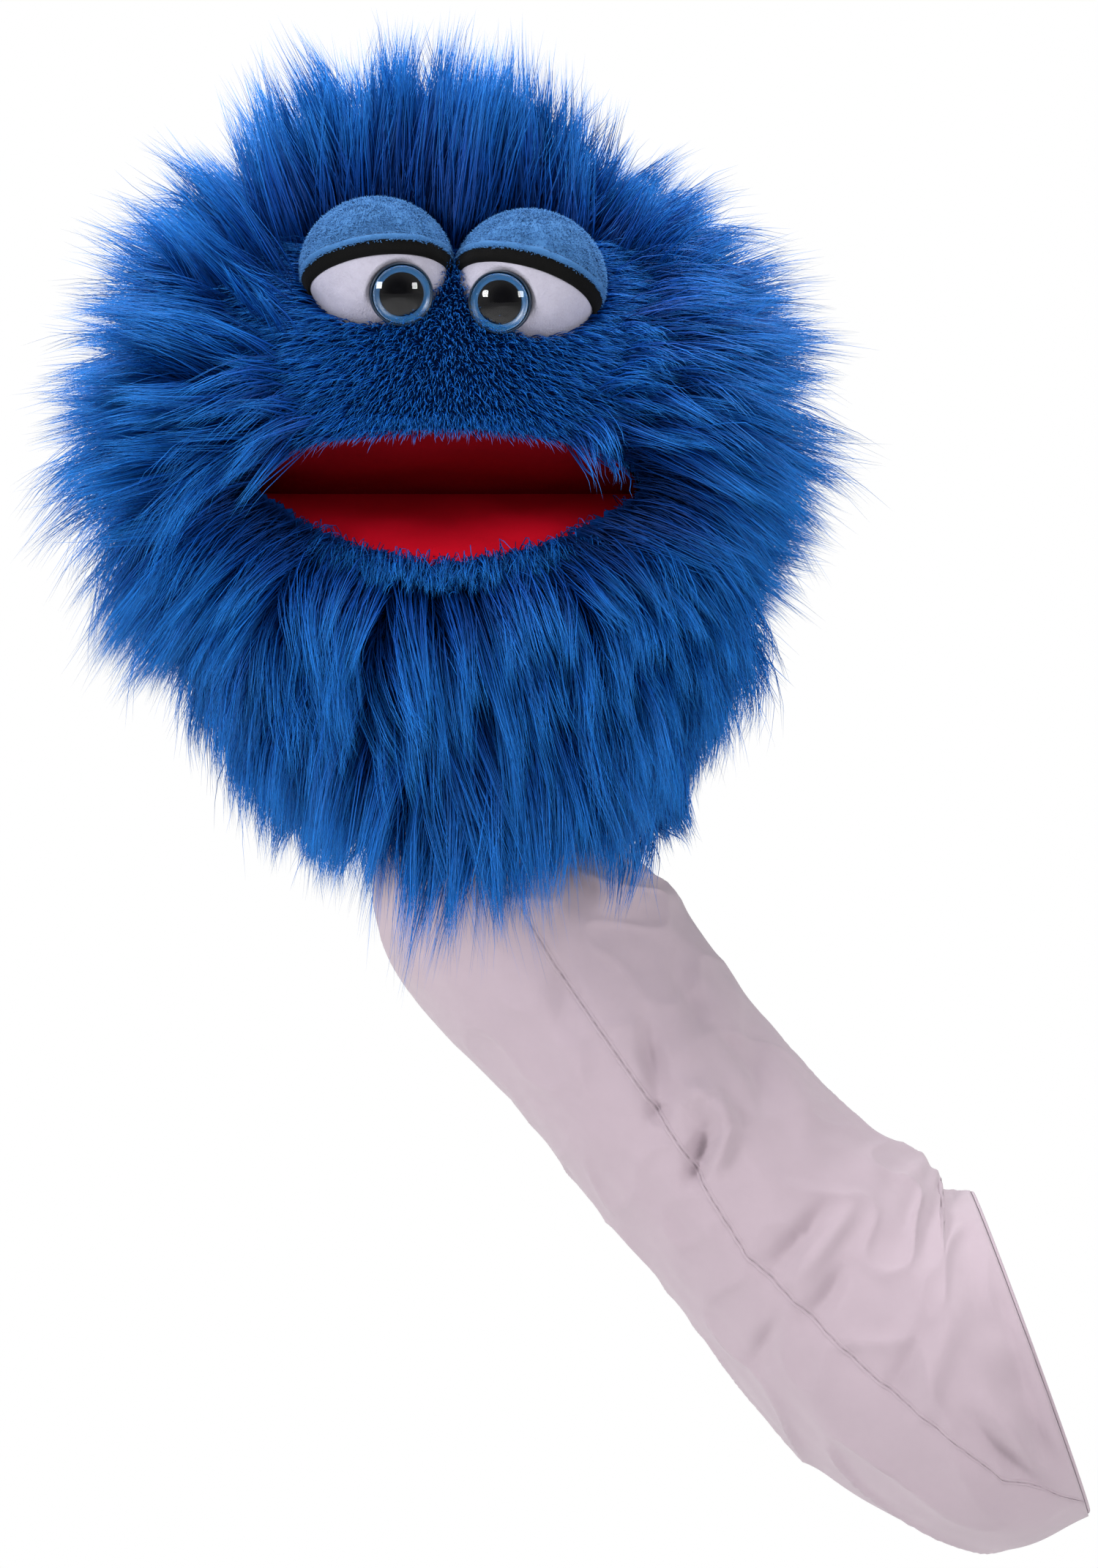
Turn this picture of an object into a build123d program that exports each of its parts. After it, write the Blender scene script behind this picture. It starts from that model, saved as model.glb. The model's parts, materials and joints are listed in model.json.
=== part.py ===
from build123d import *
import os
from math import acos, asin, cos, degrees, radians, sin, tan

# A moving-mouth hand puppet: a round long-pile head with a hinged jaw, on an arm sleeve.
# Millimetres. +Z is up, the face looks along -Y, and the origin is the centre of the sleeve's
# arm opening. The head pieces are laid out from HINGE, the middle of the crease of the mouth.

# ---- driving dimensions ----------------------------------------------------------------
HINGE = Vector(-212, -18, 312)
NECK = Vector(-191, 0, 194)  # the point in the wrist about which the head nods, tilts and turns
SIDES = {"left": -1, "right": 1}  # as seen from the front

UPPER_TILT = 13.6  # how far the upper mouth plate rises from the crease, at rest
LOWER_TILT = 19.0  # how far the lower mouth plate falls
MOUTH_HALF_WIDTH = 70
MOUTH_DEPTH = 85
CREASE_GAP = 6  # from the hinge axis to the plates' back edges
FACE_GAP = 0.3  # keeps the two linings apart when the mouth is shut
LINING = 1.0
BOARD = 2.5
CLOTH = 1.2

# The head's form is round about a line that leans from the wrist to the head's centre.
HEAD_CENTRE = HINGE + Vector(0, 5, 18)
SKIN_DOME = 91
SKIN_FUNNEL = ((69, 74), (-15, 48.4))  # distance up from the wrist, and radius
PILE_DOME = 140
PILE_FUNNEL = ((64, 106), (-15, 51.7))
NECK_EDGE = NECK.Z  # the head's neck is cut off level here
PILE_FRONT = 105  # the pile stands no further forward of the hinge than this
MUZZLE_PILE = 6
FOAM = 8.4
FACE_CENTRE_Z = 56
FACE_HALF_WIDTH = 60
FACE_HALF_HEIGHT = 54

JAW_BACK = 72  # degrees below the front at which the chin ends
NAPE_FRONT = 100  # degrees below the front at which the nape begins
COLLAR_TOP = -104
FOAM_BOTTOM = -32

EYES = Vector(3.3, -62, 80.7)  # midway between the eyes, from the hinge
EYE_SPACING = 56
EYE_ROLL = 3.5  # the pair is sewn on a little aslant
EYE_RADIUS = 25.5
LID = 2.4
LID_RISE = 25.5
LID_SLANT = 12.6
LASH_HEIGHT = 5
LASH_THICKNESS = 1.2
IRIS_IN = 9.3
IRIS_DOWN = 8.6
IRIS_FORWARD = 19.5
IRIS_TILT = 18
IRIS_RADIUS = 11.1
IRIS_THICKNESS = 2
PUPIL_RADIUS = 7.1
PUPIL_THICKNESS = 0.8
CORNEA_HEIGHT = 5.2
SHANK_RADIUS = 2.4
SHANK_LENGTH = 13
WASHER_RADIUS = 8
WASHER_THICKNESS = 1.6
WASHER_BACK = 5

BAND_RADII = {"sleeve": (44.8, 46.0), "tape": (46.6, 47.8), "lining": (48.4, 49.6)}
BAND_TOP = {"sleeve": 10, "tape": 9, "lining": 8}
BAND_BOTTOM = {"sleeve": -20, "tape": -2, "lining": -1}

WRIST = Vector(-191, 0, 146)  # the sleeve is a tapering tube between two round ends
WRIST_RADIUS = 47.4
ELBOW_RADIUS = 66
ELBOW_SETBACK = 20  # from the arm opening to the elbow's middle
FOREARM_STOP = 43  # the forearm meets the elbow's ball this far before its middle
SLEEVE_TOP_Z = 167
CUFF_TILT = 20
CUFF_RADIUS = 60
CUFF_LENGTH = 10
ELASTIC = 0.8
ELASTIC_COVER = 0.2
SEAM_LINE = ((-187, 160), (-150, 109), (-103, 37), (-58, -6), (-11, -44), (30, -56))

FAR = 260  # longer than any piece, for the cutting tools


def from_hinge(x, y, z):
    return HINGE + Vector(x, y, z)


def arc(x, y, half_width, half_height, start, sweep):
    """Part of an oval or a circle, in the line being built."""
    if half_width == half_height:
        return CenterArc((x, y), half_width, start, sweep)
    return EllipticalCenterArc((x, y), half_width, half_height, start, arc_size=sweep)


def tilted(degrees):
    """A plane through the hinge axis that rises towards the front; its -Y runs forward."""
    lean = radians(degrees)
    return Plane(HINGE, x_dir=(1, 0, 0), z_dir=(0, sin(lean), cos(lean)))


def side_view():
    """The upright plane through the hinge centre, in which sketches read (y, z)."""
    return Plane(HINGE, x_dir=(0, 1, 0), z_dir=(1, 0, 0))


def polar(degrees_below_front, radius):
    """A point of the side view at an angle below straight forward."""
    turn = radians(degrees_below_front)
    return (-radius * cos(turn), -radius * sin(turn))


def export(builder, name):
    builder.part.label = name
    export_step(builder.part, f"parts/{name}.step")


# ---- forms and cutting tools -------------------------------------------------------------
def head_form(dome, funnel, grow=0.0):
    """The solid head: half a ball on top of a funnel that runs down to the neck."""
    rise = HEAD_CENTRE - NECK
    half = dome + grow
    with BuildPart() as form:
        with BuildSketch(Plane(NECK, x_dir=rise, z_dir=rise.cross(Vector(1, 0, 0)))):
            with BuildLine():
                top = arc(rise.length, 0, half, half, 0, 90)
                levels = [(up, radius + grow) for up, radius in funnel]
                Polyline(top @ 1, *levels, (levels[-1][0], 0), top @ 0)
            make_face()
        revolve(axis=Axis(NECK, rise))
        split(bisect_by=Plane((0, 0, NECK_EDGE)), keep=Keep.TOP)
    return form.part


def side_prism(points):
    """A side-view outline carried right through the head from side to side."""
    with BuildPart() as prism:
        with BuildSketch(side_view()):
            with BuildLine():
                Polyline(*points, close=True)
            make_face()
        extrude(amount=FAR, both=True)
    return prism.part


def slab(low, high):
    """A box between two corners measured from the hinge."""
    size = [b - a for a, b in zip(low, high)]
    middle = [(a + b) / 2 for a, b in zip(low, high)]
    with BuildPart() as box:
        with Locations(from_hinge(*middle)):
            Box(*size)
    return box.part


def face_window():
    """The oval of the face, with no long pile, carried forward."""
    with BuildPart() as window:
        with BuildSketch(Plane(from_hinge(0, 0, FACE_CENTRE_Z), x_dir=(1, 0, 0), z_dir=(0, -1, 0))):
            Ellipse(FACE_HALF_WIDTH, FACE_HALF_HEIGHT)
        extrude(amount=FAR)
    return window.part


def jaw_room(lift):
    """The space left to the jaw, from under the upper plate round to the nape."""
    slope = tan(radians(UPPER_TILT))
    up = lift / cos(radians(UPPER_TILT))
    nape_y = -COLLAR_TOP * tan(radians(NAPE_FRONT - 90))
    return side_prism([(0, up), (-FAR, FAR * slope + up), (-FAR, COLLAR_TOP), (nape_y, COLLAR_TOP)])


def chin_space(drop):
    """The sector that the jaw's soft pieces fill, stepped back where it must clear the neck."""
    down = drop / cos(radians(LOWER_TILT))
    points = [(x, z - down) for x, z in (polar(LOWER_TILT, 9), polar(LOWER_TILT, 125))]
    points += [polar(44, 112), polar(50, 96), polar(JAW_BACK, 92), polar(JAW_BACK, 9)]
    return side_prism(points)


SKIN = head_form(SKIN_DOME, SKIN_FUNNEL)
FACE = face_window()
JAW_ROOM = jaw_room(0)


# ---- the eyes --------------------------------------------------------------------------------
def eye_plane(side):
    """A plane at one eye's centre: x to the right, y up and z the way it looks."""
    roll = radians(-EYE_ROLL)
    along = Vector(cos(roll), 0, sin(roll))
    centre = HINGE + EYES + along * (side * EYE_SPACING / 2)
    return Plane(centre, x_dir=along, z_dir=(0, -1, 0))


def iris_plane(side):
    """The plane of the iris's back, set in and down on the ball and leaning the same way."""
    eye = eye_plane(side)
    offset = Vector(-side * IRIS_IN, -IRIS_DOWN, 0)
    lean = offset.normalized() * sin(radians(IRIS_TILT)) + Vector(0, 0, cos(radians(IRIS_TILT)))
    origin = eye.from_local_coords(offset + Vector(0, 0, IRIS_FORWARD))
    gaze = eye.from_local_coords(lean) - eye.origin
    return Plane(origin, x_dir=eye.x_dir, z_dir=gaze)


def ball(side, grow):
    """An eye's ball, grown by a thickness of cloth."""
    with BuildPart() as form:
        with Locations(eye_plane(side)):
            Sphere(EYE_RADIUS + grow)
    return form.part


def round_bar(plane, radius, start, length):
    """A cylinder along a plane's normal."""
    with BuildPart() as bar:
        with BuildSketch(plane.offset(start)):
            Circle(radius)
        extrude(amount=length)
    return bar.part


def lid_plane(side):
    """The plane of the lid's edge: it rises to the front and slants down to the outside."""
    eye = eye_plane(side)
    along = Vector(cos(radians(LID_SLANT)), -side * sin(radians(LID_SLANT)), 0)
    forward = Vector(0, sin(radians(LID_RISE)), cos(radians(LID_RISE)))
    normal = eye.from_local_coords(forward.cross(along)) - eye.origin
    return Plane(eye.origin, z_dir=normal)


def make_eye(name, side):
    iris = iris_plane(side)
    shank = round_bar(iris, SHANK_RADIUS, -SHANK_LENGTH, SHANK_LENGTH)
    washer_at = iris.offset(-WASHER_BACK - WASHER_THICKNESS)

    with BuildPart() as cloth_ball:
        add(ball(side, 0))
        add(round_bar(iris, IRIS_RADIUS + 0.3, 0, FAR / 4), mode=Mode.SUBTRACT)
    with BuildPart() as inside:
        add(ball(side, -CLOTH))
        add(round_bar(iris, IRIS_RADIUS + 0.3 + CLOTH, -CLOTH, FAR / 4), mode=Mode.SUBTRACT)

    with BuildPart() as eye_white:
        add(cloth_ball.part)
        add([inside.part, SKIN, shank], mode=Mode.SUBTRACT)
    export(eye_white, f"eye_white_{name}")

    with BuildPart() as washer:
        with BuildSketch(washer_at):
            Circle(WASHER_RADIUS)
            Circle(SHANK_RADIUS, mode=Mode.SUBTRACT)
        extrude(amount=WASHER_THICKNESS)
        chamfer(washer.edges().filter_by(GeomType.CIRCLE).group_by(SortBy.RADIUS)[-1], 0.4)
    export(washer, f"eye_washer_{name}")

    with BuildPart() as filling:
        add(inside.part)
        add([SKIN, shank], mode=Mode.SUBTRACT)
        add(round_bar(washer_at, WASHER_RADIUS, 0, WASHER_THICKNESS), mode=Mode.SUBTRACT)
    export(filling, f"eye_filling_{name}")

    with BuildPart() as iris_disc:
        with BuildSketch(iris):
            Circle(IRIS_RADIUS)
        extrude(amount=IRIS_THICKNESS)
        add(shank)
    export(iris_disc, f"eye_iris_{name}")

    with BuildPart() as pupil:
        add(round_bar(iris, PUPIL_RADIUS, IRIS_THICKNESS, PUPIL_THICKNESS))
    export(pupil, f"eye_pupil_{name}")

    front = iris.offset(IRIS_THICKNESS)
    with BuildPart() as cornea:
        with BuildSketch(Plane(front.origin, x_dir=front.x_dir, z_dir=-front.y_dir)):
            with BuildLine():
                half, recess = IRIS_RADIUS, PUPIL_THICKNESS
                rise = CORNEA_HEIGHT - 0.6
                curve = (half * half + rise * rise) / (2 * rise)
                spread = degrees(asin(half / curve))
                arc(0, CORNEA_HEIGHT - curve, curve, curve, 90 - spread, spread)
                Polyline((0, CORNEA_HEIGHT), (0, recess), (PUPIL_RADIUS, recess), (PUPIL_RADIUS, 0))
                Polyline((PUPIL_RADIUS, 0), (half, 0), (half, 0.6))
            make_face()
        revolve(axis=Axis(front.origin, front.z_dir))
    export(cornea, f"eye_dome_{name}")

    with BuildPart() as eyelid:
        add(ball(side, LID))
        add([ball(side, 0), SKIN], mode=Mode.SUBTRACT)
        split(bisect_by=lid_plane(side), keep=Keep.TOP)
    export(eyelid, f"eyelid_{name}")

    with BuildPart() as lash:
        add(ball(side, LASH_THICKNESS))
        add([ball(side, 0), SKIN], mode=Mode.SUBTRACT)
        split(bisect_by=lid_plane(side), keep=Keep.BOTTOM)
        split(bisect_by=lid_plane(side).offset(-LASH_HEIGHT), keep=Keep.TOP)
        add(round_bar(iris, IRIS_RADIUS + 0.3, 0, FAR / 4), mode=Mode.SUBTRACT)
    export(lash, f"lash_band_{name}")


# ---- the head -----------------------------------------------------------------------------
def plate_room():
    """The two mouth plates with their linings, which the pile stops against."""
    deep = FACE_GAP + LINING + BOARD
    rooms = []
    for plane, outline, way in (
        (tilted(UPPER_TILT), upper_outline(-0.1), deep + 0.1),
        (tilted(-LOWER_TILT), lower_outline(-0.1), -deep - 0.1),
    ):
        with BuildPart() as room:
            with BuildSketch(plane):
                add(outline)
            extrude(amount=way)
        rooms.append(room.part)
    return rooms


def make_pile():
    """The long-pile coat as its sewn panels, each as thick as its pile stands."""
    with BuildPart() as coat:
        add(head_form(PILE_DOME, PILE_FUNNEL))
        add([SKIN, FACE, JAW_ROOM] + plate_room(), mode=Mode.SUBTRACT)
        add([ball(side, LID + 0.3) for side in SIDES.values()], mode=Mode.SUBTRACT)
        add(slab((-FAR, -PILE_FRONT, -FAR), (FAR, FAR, FAR)), mode=Mode.INTERSECT)
    crown_z, back_y, neck_z = 66, 45, -52
    panels = {
        "crown_fur": slab((-FAR, -FAR, crown_z), (FAR, FAR, FAR)),
        "back_fur": slab((-FAR, back_y, neck_z), (FAR, FAR, crown_z)),
        "cheek_fur_left": slab((-FAR, -FAR, neck_z), (0, back_y, crown_z)),
        "cheek_fur_right": slab((0, -FAR, neck_z), (FAR, back_y, crown_z)),
        "neck_fur": slab((-FAR, -FAR, -FAR), (FAR, FAR, neck_z)),
    }
    for name, room in panels.items():
        with BuildPart() as panel:
            add(coat.part)
            add(room, mode=Mode.INTERSECT)
        export(panel, name)


def make_muzzle():
    with BuildPart() as muzzle:
        add(head_form(SKIN_DOME, SKIN_FUNNEL, MUZZLE_PILE))
        add([SKIN, JAW_ROOM] + plate_room(), mode=Mode.SUBTRACT)
        add(FACE, mode=Mode.INTERSECT)
        for side in SIDES.values():
            add(ball(side, LID + 0.2), mode=Mode.SUBTRACT)
            add(round_bar(iris_plane(side), IRIS_RADIUS + 0.5, -0.5, FAR / 4), mode=Mode.SUBTRACT)
    export(muzzle, "muzzle_fur")


def make_foam_and_lining():
    lift = FACE_GAP + LINING + BOARD
    layers = {"head_foam": (-0.4, -0.4 - FOAM), "head_lining": (-9.0, -9.0 - CLOTH)}
    for name, (outside, inside) in layers.items():
        with BuildPart() as layer:
            add(head_form(SKIN_DOME, SKIN_FUNNEL, outside))
            add(head_form(SKIN_DOME, SKIN_FUNNEL, inside), mode=Mode.SUBTRACT)
            add(jaw_room(lift), mode=Mode.SUBTRACT)
            add(slab((-FAR, -FAR, FOAM_BOTTOM), (FAR, FAR, FAR)), mode=Mode.INTERSECT)
        export(layer, name)


# ---- the mouth ------------------------------------------------------------------------------
def upper_outline(inset):
    """The palate: straight across the back, square in front with big rounded corners."""
    half, front = MOUTH_HALF_WIDTH - inset, MOUTH_DEPTH - inset
    with BuildSketch(mode=Mode.PRIVATE) as outline:
        with BuildLine():
            Polyline((-half, -CREASE_GAP), (half, -CREASE_GAP), (half, -28))
            arc(half - 42, -28, 42, front - 28, 270, 90)
            Line((half - 42, -front), (42 - half, -front))
            arc(42 - half, -28, 42, front - 28, 180, 90)
            Line((-half, -28), (-half, -CREASE_GAP))
        make_face()
    return outline.sketch


def lower_outline(inset):
    """The floor of the mouth: straight across the back and half an oval in front."""
    half, front = MOUTH_HALF_WIDTH - inset, MOUTH_DEPTH - 2 - inset
    with BuildSketch(mode=Mode.PRIVATE) as outline:
        with BuildLine():
            arc(0, -CREASE_GAP, half, front - CREASE_GAP, 180, 180)
            Line((half, -CREASE_GAP), (-half, -CREASE_GAP))
        make_face()
    return outline.sketch


def make_mouth():
    upper, lower = tilted(UPPER_TILT), tilted(-LOWER_TILT)
    layers = {
        "palate_lining": (upper.offset(FACE_GAP), upper_outline(0), LINING),
        "upper_mouth_plate": (upper.offset(FACE_GAP + LINING), upper_outline(1.5), BOARD),
        "tongue_lining": (lower.offset(-FACE_GAP), lower_outline(0), -LINING),
        "lower_mouth_plate": (lower.offset(-FACE_GAP - LINING), lower_outline(1.5), -BOARD),
    }
    for name, (plane, outline, thickness) in layers.items():
        with BuildPart() as layer:
            with BuildSketch(plane):
                add(outline)
            extrude(amount=thickness)
        export(layer, name)

    with BuildPart() as crease:
        with BuildSketch(side_view()):
            Circle(CREASE_GAP - 0.7)
            Circle(CREASE_GAP - 0.7 - LINING, mode=Mode.SUBTRACT)
            with Locations((-CREASE_GAP, 0)):
                Rectangle(CREASE_GAP, 4, mode=Mode.SUBTRACT)
        extrude(amount=MOUTH_HALF_WIDTH - 2, both=True)
    export(crease, "mouth_crease")


def make_pocket(name, plane, half_width, height, back, front):
    """A cloth arch over a mouth plate, open at both ends, for fingers or thumb."""
    with BuildPart() as pocket:
        mouth = Plane(plane.from_local_coords((0, -back, 0)), x_dir=plane.x_dir, z_dir=-plane.y_dir)
        with BuildSketch(mouth):
            Ellipse(half_width, height)
            Ellipse(half_width - CLOTH, height - CLOTH, mode=Mode.SUBTRACT)
            with Locations((0, -height)):
                Rectangle(3 * half_width, 2 * height, mode=Mode.SUBTRACT)
        extrude(amount=front - back)
    export(pocket, name)


def make_pockets():
    under = FACE_GAP + LINING + BOARD
    over_upper = tilted(UPPER_TILT).offset(under)
    lower = tilted(-LOWER_TILT).offset(-under)
    below_lower = Plane(lower.origin, x_dir=-lower.x_dir, z_dir=-lower.z_dir)
    make_pocket("finger_pocket", over_upper, 45, 24, 18, 62)
    make_pocket("thumb_pocket", below_lower, 26, 24, 16, 60)


def make_chin():
    """The jaw's padding and pile, from the lower lip round to the throat."""
    under = FACE_GAP + LINING + BOARD
    with BuildPart() as foam:
        add(head_form(SKIN_DOME, SKIN_FUNNEL, -0.4))
        add(head_form(SKIN_DOME, SKIN_FUNNEL, -0.4 - FOAM), mode=Mode.SUBTRACT)
        add(chin_space(under), mode=Mode.INTERSECT)
    export(foam, "chin_foam")
    with BuildPart() as fur:
        add(head_form(PILE_DOME, PILE_FUNNEL))
        add([SKIN] + plate_room(), mode=Mode.SUBTRACT)
        add(slab((-FAR, -PILE_FRONT, -FAR), (FAR, FAR, FAR)), mode=Mode.INTERSECT)
        add(chin_space(0), mode=Mode.INTERSECT)
    export(fur, "chin_fur")


# ---- the neck and the sleeve ------------------------------------------------------------------
def make_neck_bands():
    """Nested cloth bands of the neck seam, round about the wrist so that each can turn."""
    names = {"sleeve": "sleeve_neck_band", "tape": "neck_tape", "lining": "neck_lining_band"}
    for key, name in names.items():
        inner, outer = BAND_RADII[key]
        bottom, top = BAND_BOTTOM[key], BAND_TOP[key]
        with BuildPart() as band:
            with Locations(NECK):
                Sphere(outer)
                Sphere(inner, mode=Mode.SUBTRACT)
                with Locations((0, 0, (bottom + top) / 2)):
                    Box(FAR, FAR, top - bottom, mode=Mode.INTERSECT)
            if key == "sleeve":
                foot = SLEEVE_TOP_Z - NECK.Z
                with BuildSketch(Plane(NECK, x_dir=(1, 0, 0), z_dir=(0, -1, 0))):
                    with BuildLine():
                        Polyline((40.2, foot), (42.4, foot), (41.6, bottom + 0.6), (40.2, bottom + 0.6), close=True)
                    make_face()
                revolve(axis=Axis(NECK, (0, 0, 1)))
        export(band, name)


def sleeve_form(grow):
    """The sleeve as a solid: a round wrist, a tapering forearm and a round elbow."""
    elbow = cuff_run() * -ELBOW_SETBACK
    forearm = elbow - WRIST
    wrist_radius, elbow_radius = WRIST_RADIUS + grow, ELBOW_RADIUS + grow
    meeting = degrees(acos(FOREARM_STOP / elbow_radius))
    with BuildPart() as form:
        with BuildSketch(Plane(WRIST, x_dir=forearm, z_dir=(0, 1, 0))):
            with BuildLine():
                wrist = arc(0, 0, wrist_radius, wrist_radius, 180, -90)
                ball = arc(forearm.length, 0, elbow_radius, elbow_radius, 180 - meeting, meeting - 180)
                Line(wrist @ 1, ball @ 0)
                Line(ball @ 1, wrist @ 0)
            make_face()
        revolve(axis=Axis(WRIST, forearm))
    return form.part


def cuff_run():
    """The way out of the arm opening."""
    return Vector(cos(radians(CUFF_TILT)), 0, sin(radians(CUFF_TILT)))


def make_sleeve():
    with BuildPart() as tube:
        add(sleeve_form(0))
        add(sleeve_form(-CLOTH), mode=Mode.SUBTRACT)
        split(bisect_by=Plane((0, 0, SLEEVE_TOP_Z)), keep=Keep.BOTTOM)
        split(bisect_by=Plane((0, 0, 0), z_dir=cuff_run()), keep=Keep.BOTTOM)
    with BuildPart() as over_seam:
        with BuildSketch(Plane((0, 0, 0), x_dir=(1, 0, 0), z_dir=(0, -1, 0))):
            with BuildLine():
                Polyline((-FAR, 160), *SEAM_LINE, (FAR, -56), (FAR, FAR), (-FAR, FAR), close=True)
            make_face()
        extrude(amount=FAR, both=True)
    for name, mode in {"sleeve_upper_panel": Mode.INTERSECT, "sleeve_lower_panel": Mode.SUBTRACT}.items():
        with BuildPart() as panel:
            add(tube.part)
            add(over_seam.part, mode=mode)
        export(panel, name)


def make_cuff():
    opening = Plane((0, 0, 0), x_dir=(0, 1, 0), z_dir=cuff_run())
    cloth_radius = CUFF_RADIUS + 1.4
    with BuildPart() as hem:
        with BuildSketch(opening):
            Circle(cloth_radius)
            Circle(CUFF_RADIUS, mode=Mode.SUBTRACT)
        extrude(amount=-CUFF_LENGTH)
    with BuildPart() as elastic:
        with BuildSketch(opening.offset(-2)):
            Circle(CUFF_RADIUS + ELASTIC_COVER + ELASTIC)
            Circle(CUFF_RADIUS + ELASTIC_COVER, mode=Mode.SUBTRACT)
        extrude(amount=4 - CUFF_LENGTH)
    with BuildPart() as hem_cloth:
        add(hem.part)
        add(elastic.part, mode=Mode.SUBTRACT)
    export(hem_cloth, "cuff_hem")
    export(elastic, "cuff_elastic")


os.makedirs("parts", exist_ok=True)
make_pile()
make_muzzle()
make_foam_and_lining()
for eye_name, eye_side in SIDES.items():
    make_eye(eye_name, eye_side)
make_mouth()
make_pockets()
make_chin()
make_neck_bands()
make_sleeve()
make_cuff()
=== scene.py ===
"""A moving-mouth hand puppet with long pile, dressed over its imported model."""

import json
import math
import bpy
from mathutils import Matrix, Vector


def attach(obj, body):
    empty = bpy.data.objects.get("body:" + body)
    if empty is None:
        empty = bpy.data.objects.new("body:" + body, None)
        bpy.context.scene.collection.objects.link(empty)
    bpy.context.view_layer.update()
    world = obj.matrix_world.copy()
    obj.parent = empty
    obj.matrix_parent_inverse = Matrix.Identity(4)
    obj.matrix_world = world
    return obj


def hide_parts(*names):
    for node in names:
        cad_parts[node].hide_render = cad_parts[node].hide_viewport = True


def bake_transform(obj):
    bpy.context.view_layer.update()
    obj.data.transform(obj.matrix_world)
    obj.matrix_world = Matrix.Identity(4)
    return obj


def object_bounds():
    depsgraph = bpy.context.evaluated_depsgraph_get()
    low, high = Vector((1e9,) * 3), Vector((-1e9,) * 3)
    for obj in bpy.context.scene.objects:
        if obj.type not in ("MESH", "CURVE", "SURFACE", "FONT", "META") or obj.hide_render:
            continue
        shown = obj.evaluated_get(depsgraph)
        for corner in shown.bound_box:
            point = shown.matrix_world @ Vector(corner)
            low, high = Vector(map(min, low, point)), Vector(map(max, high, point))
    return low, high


bl_info = {
    "name": "Moving mouth hand puppet",
    "version": (1, 0, 0),
    "blender": (4, 5, 0),
    "location": "View3D > Sidebar > Puppet",
    "description": "Makes the pile, eyes, mouth, sleeve and stage of a moving-mouth hand puppet",
    "category": "Add Mesh",
}

import bpy
import numpy as np
from bpy.props import FloatProperty, FloatVectorProperty, IntProperty, PointerProperty
from mathutils import Vector, noise
from mathutils.kdtree import KDTree

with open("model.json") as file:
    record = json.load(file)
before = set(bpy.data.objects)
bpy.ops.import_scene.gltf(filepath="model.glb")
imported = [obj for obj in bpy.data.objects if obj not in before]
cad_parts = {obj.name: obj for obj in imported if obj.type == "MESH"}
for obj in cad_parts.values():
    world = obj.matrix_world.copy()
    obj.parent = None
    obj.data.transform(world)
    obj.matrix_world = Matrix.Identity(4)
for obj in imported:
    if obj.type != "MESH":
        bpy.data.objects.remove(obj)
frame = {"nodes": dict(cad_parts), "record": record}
CAD_BOX = [[float(v) for v in corner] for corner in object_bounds()]
JOINTS = {joint["name"]: joint for joint in frame["record"]["behaviour"]["joints"]}
HINGE = np.array(JOINTS["jaw_hinge"]["pos_m"], float)
NECK = np.array(JOINTS["neck_nod"]["pos_m"], float)

# The head's skin, round about the line from the wrist to the head's centre.
HEAD_CENTRE = HINGE + (0, 0.005, 0.018)
SKIN_RADIUS = 0.091
FUNNEL = ((0.069, 0.074), (-0.015, 0.0484))
COLLAR_TOP = -0.104

# The mouth, as degrees below straight forward of its hinge.
UPPER_LIP = -13.6
LOWER_LIP = 19.0
THROAT = 100.0
MOUTH_HALF_WIDTH = 0.070
FELT_HALF_WIDTH = 0.0705
# How far forward of the crease the felt's edge stands: in the middle of each half, and at a corner.
UPPER_EDGE = 0.0862
LOWER_EDGE = 0.0805
CORNER_EDGE = 0.0008
# The middle of the face and of the pile, to the right of the hinge.
FACE_MIDDLE = 0.003
PILE_MIDDLE = 0.008

EYES = HINGE + (0.0033, -0.062, 0.0765)
EYE_SPACING = 0.0545
EYE_ROLL = math.radians(-4.6)
EYE_RADIUS = 0.0236
IRIS_RADIUS = 0.0114
EYE_SEGMENTS = 96

# How far the pile's tips stand from the hinge seen from the front, at each angle from the right.
TIP_REACH = (
    (0, 0.149),
    (25, 0.154),
    (45, 0.151),
    (64, 0.148),
    (84, 0.164),
    (96, 0.176),
    (115, 0.168),
    (131, 0.160),
    (148, 0.162),
    (161, 0.150),
    (176, 0.157),
    (190, 0.143),
    (203, 0.140),
    (222, 0.128),
    (240, 0.142),
    (254, 0.146),
    (265, 0.166),
    (273, 0.178),
    (282, 0.166),
    (298, 0.157),
    (310, 0.136),
    (324, 0.146),
    (334, 0.134),
    (349, 0.141),
    (360, 0.149),
)
SIDES = {"left": -1, "right": 1}

FRONT = np.array((0.0, -1.0, 0.0))
DOWN = np.array((0.0, 0.0, -1.0))
# How many fibres an object holds: fewer where the pile is long and its fibres have more rings.
LONG_SHARE = 5700
SHORT_SHARE = 8600
GOLDEN = math.pi * (3 - math.sqrt(5))
# Blender draws the offsets of its vector noise afresh in each session unless they are given a seed.
WANDER_SEED = 5


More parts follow.
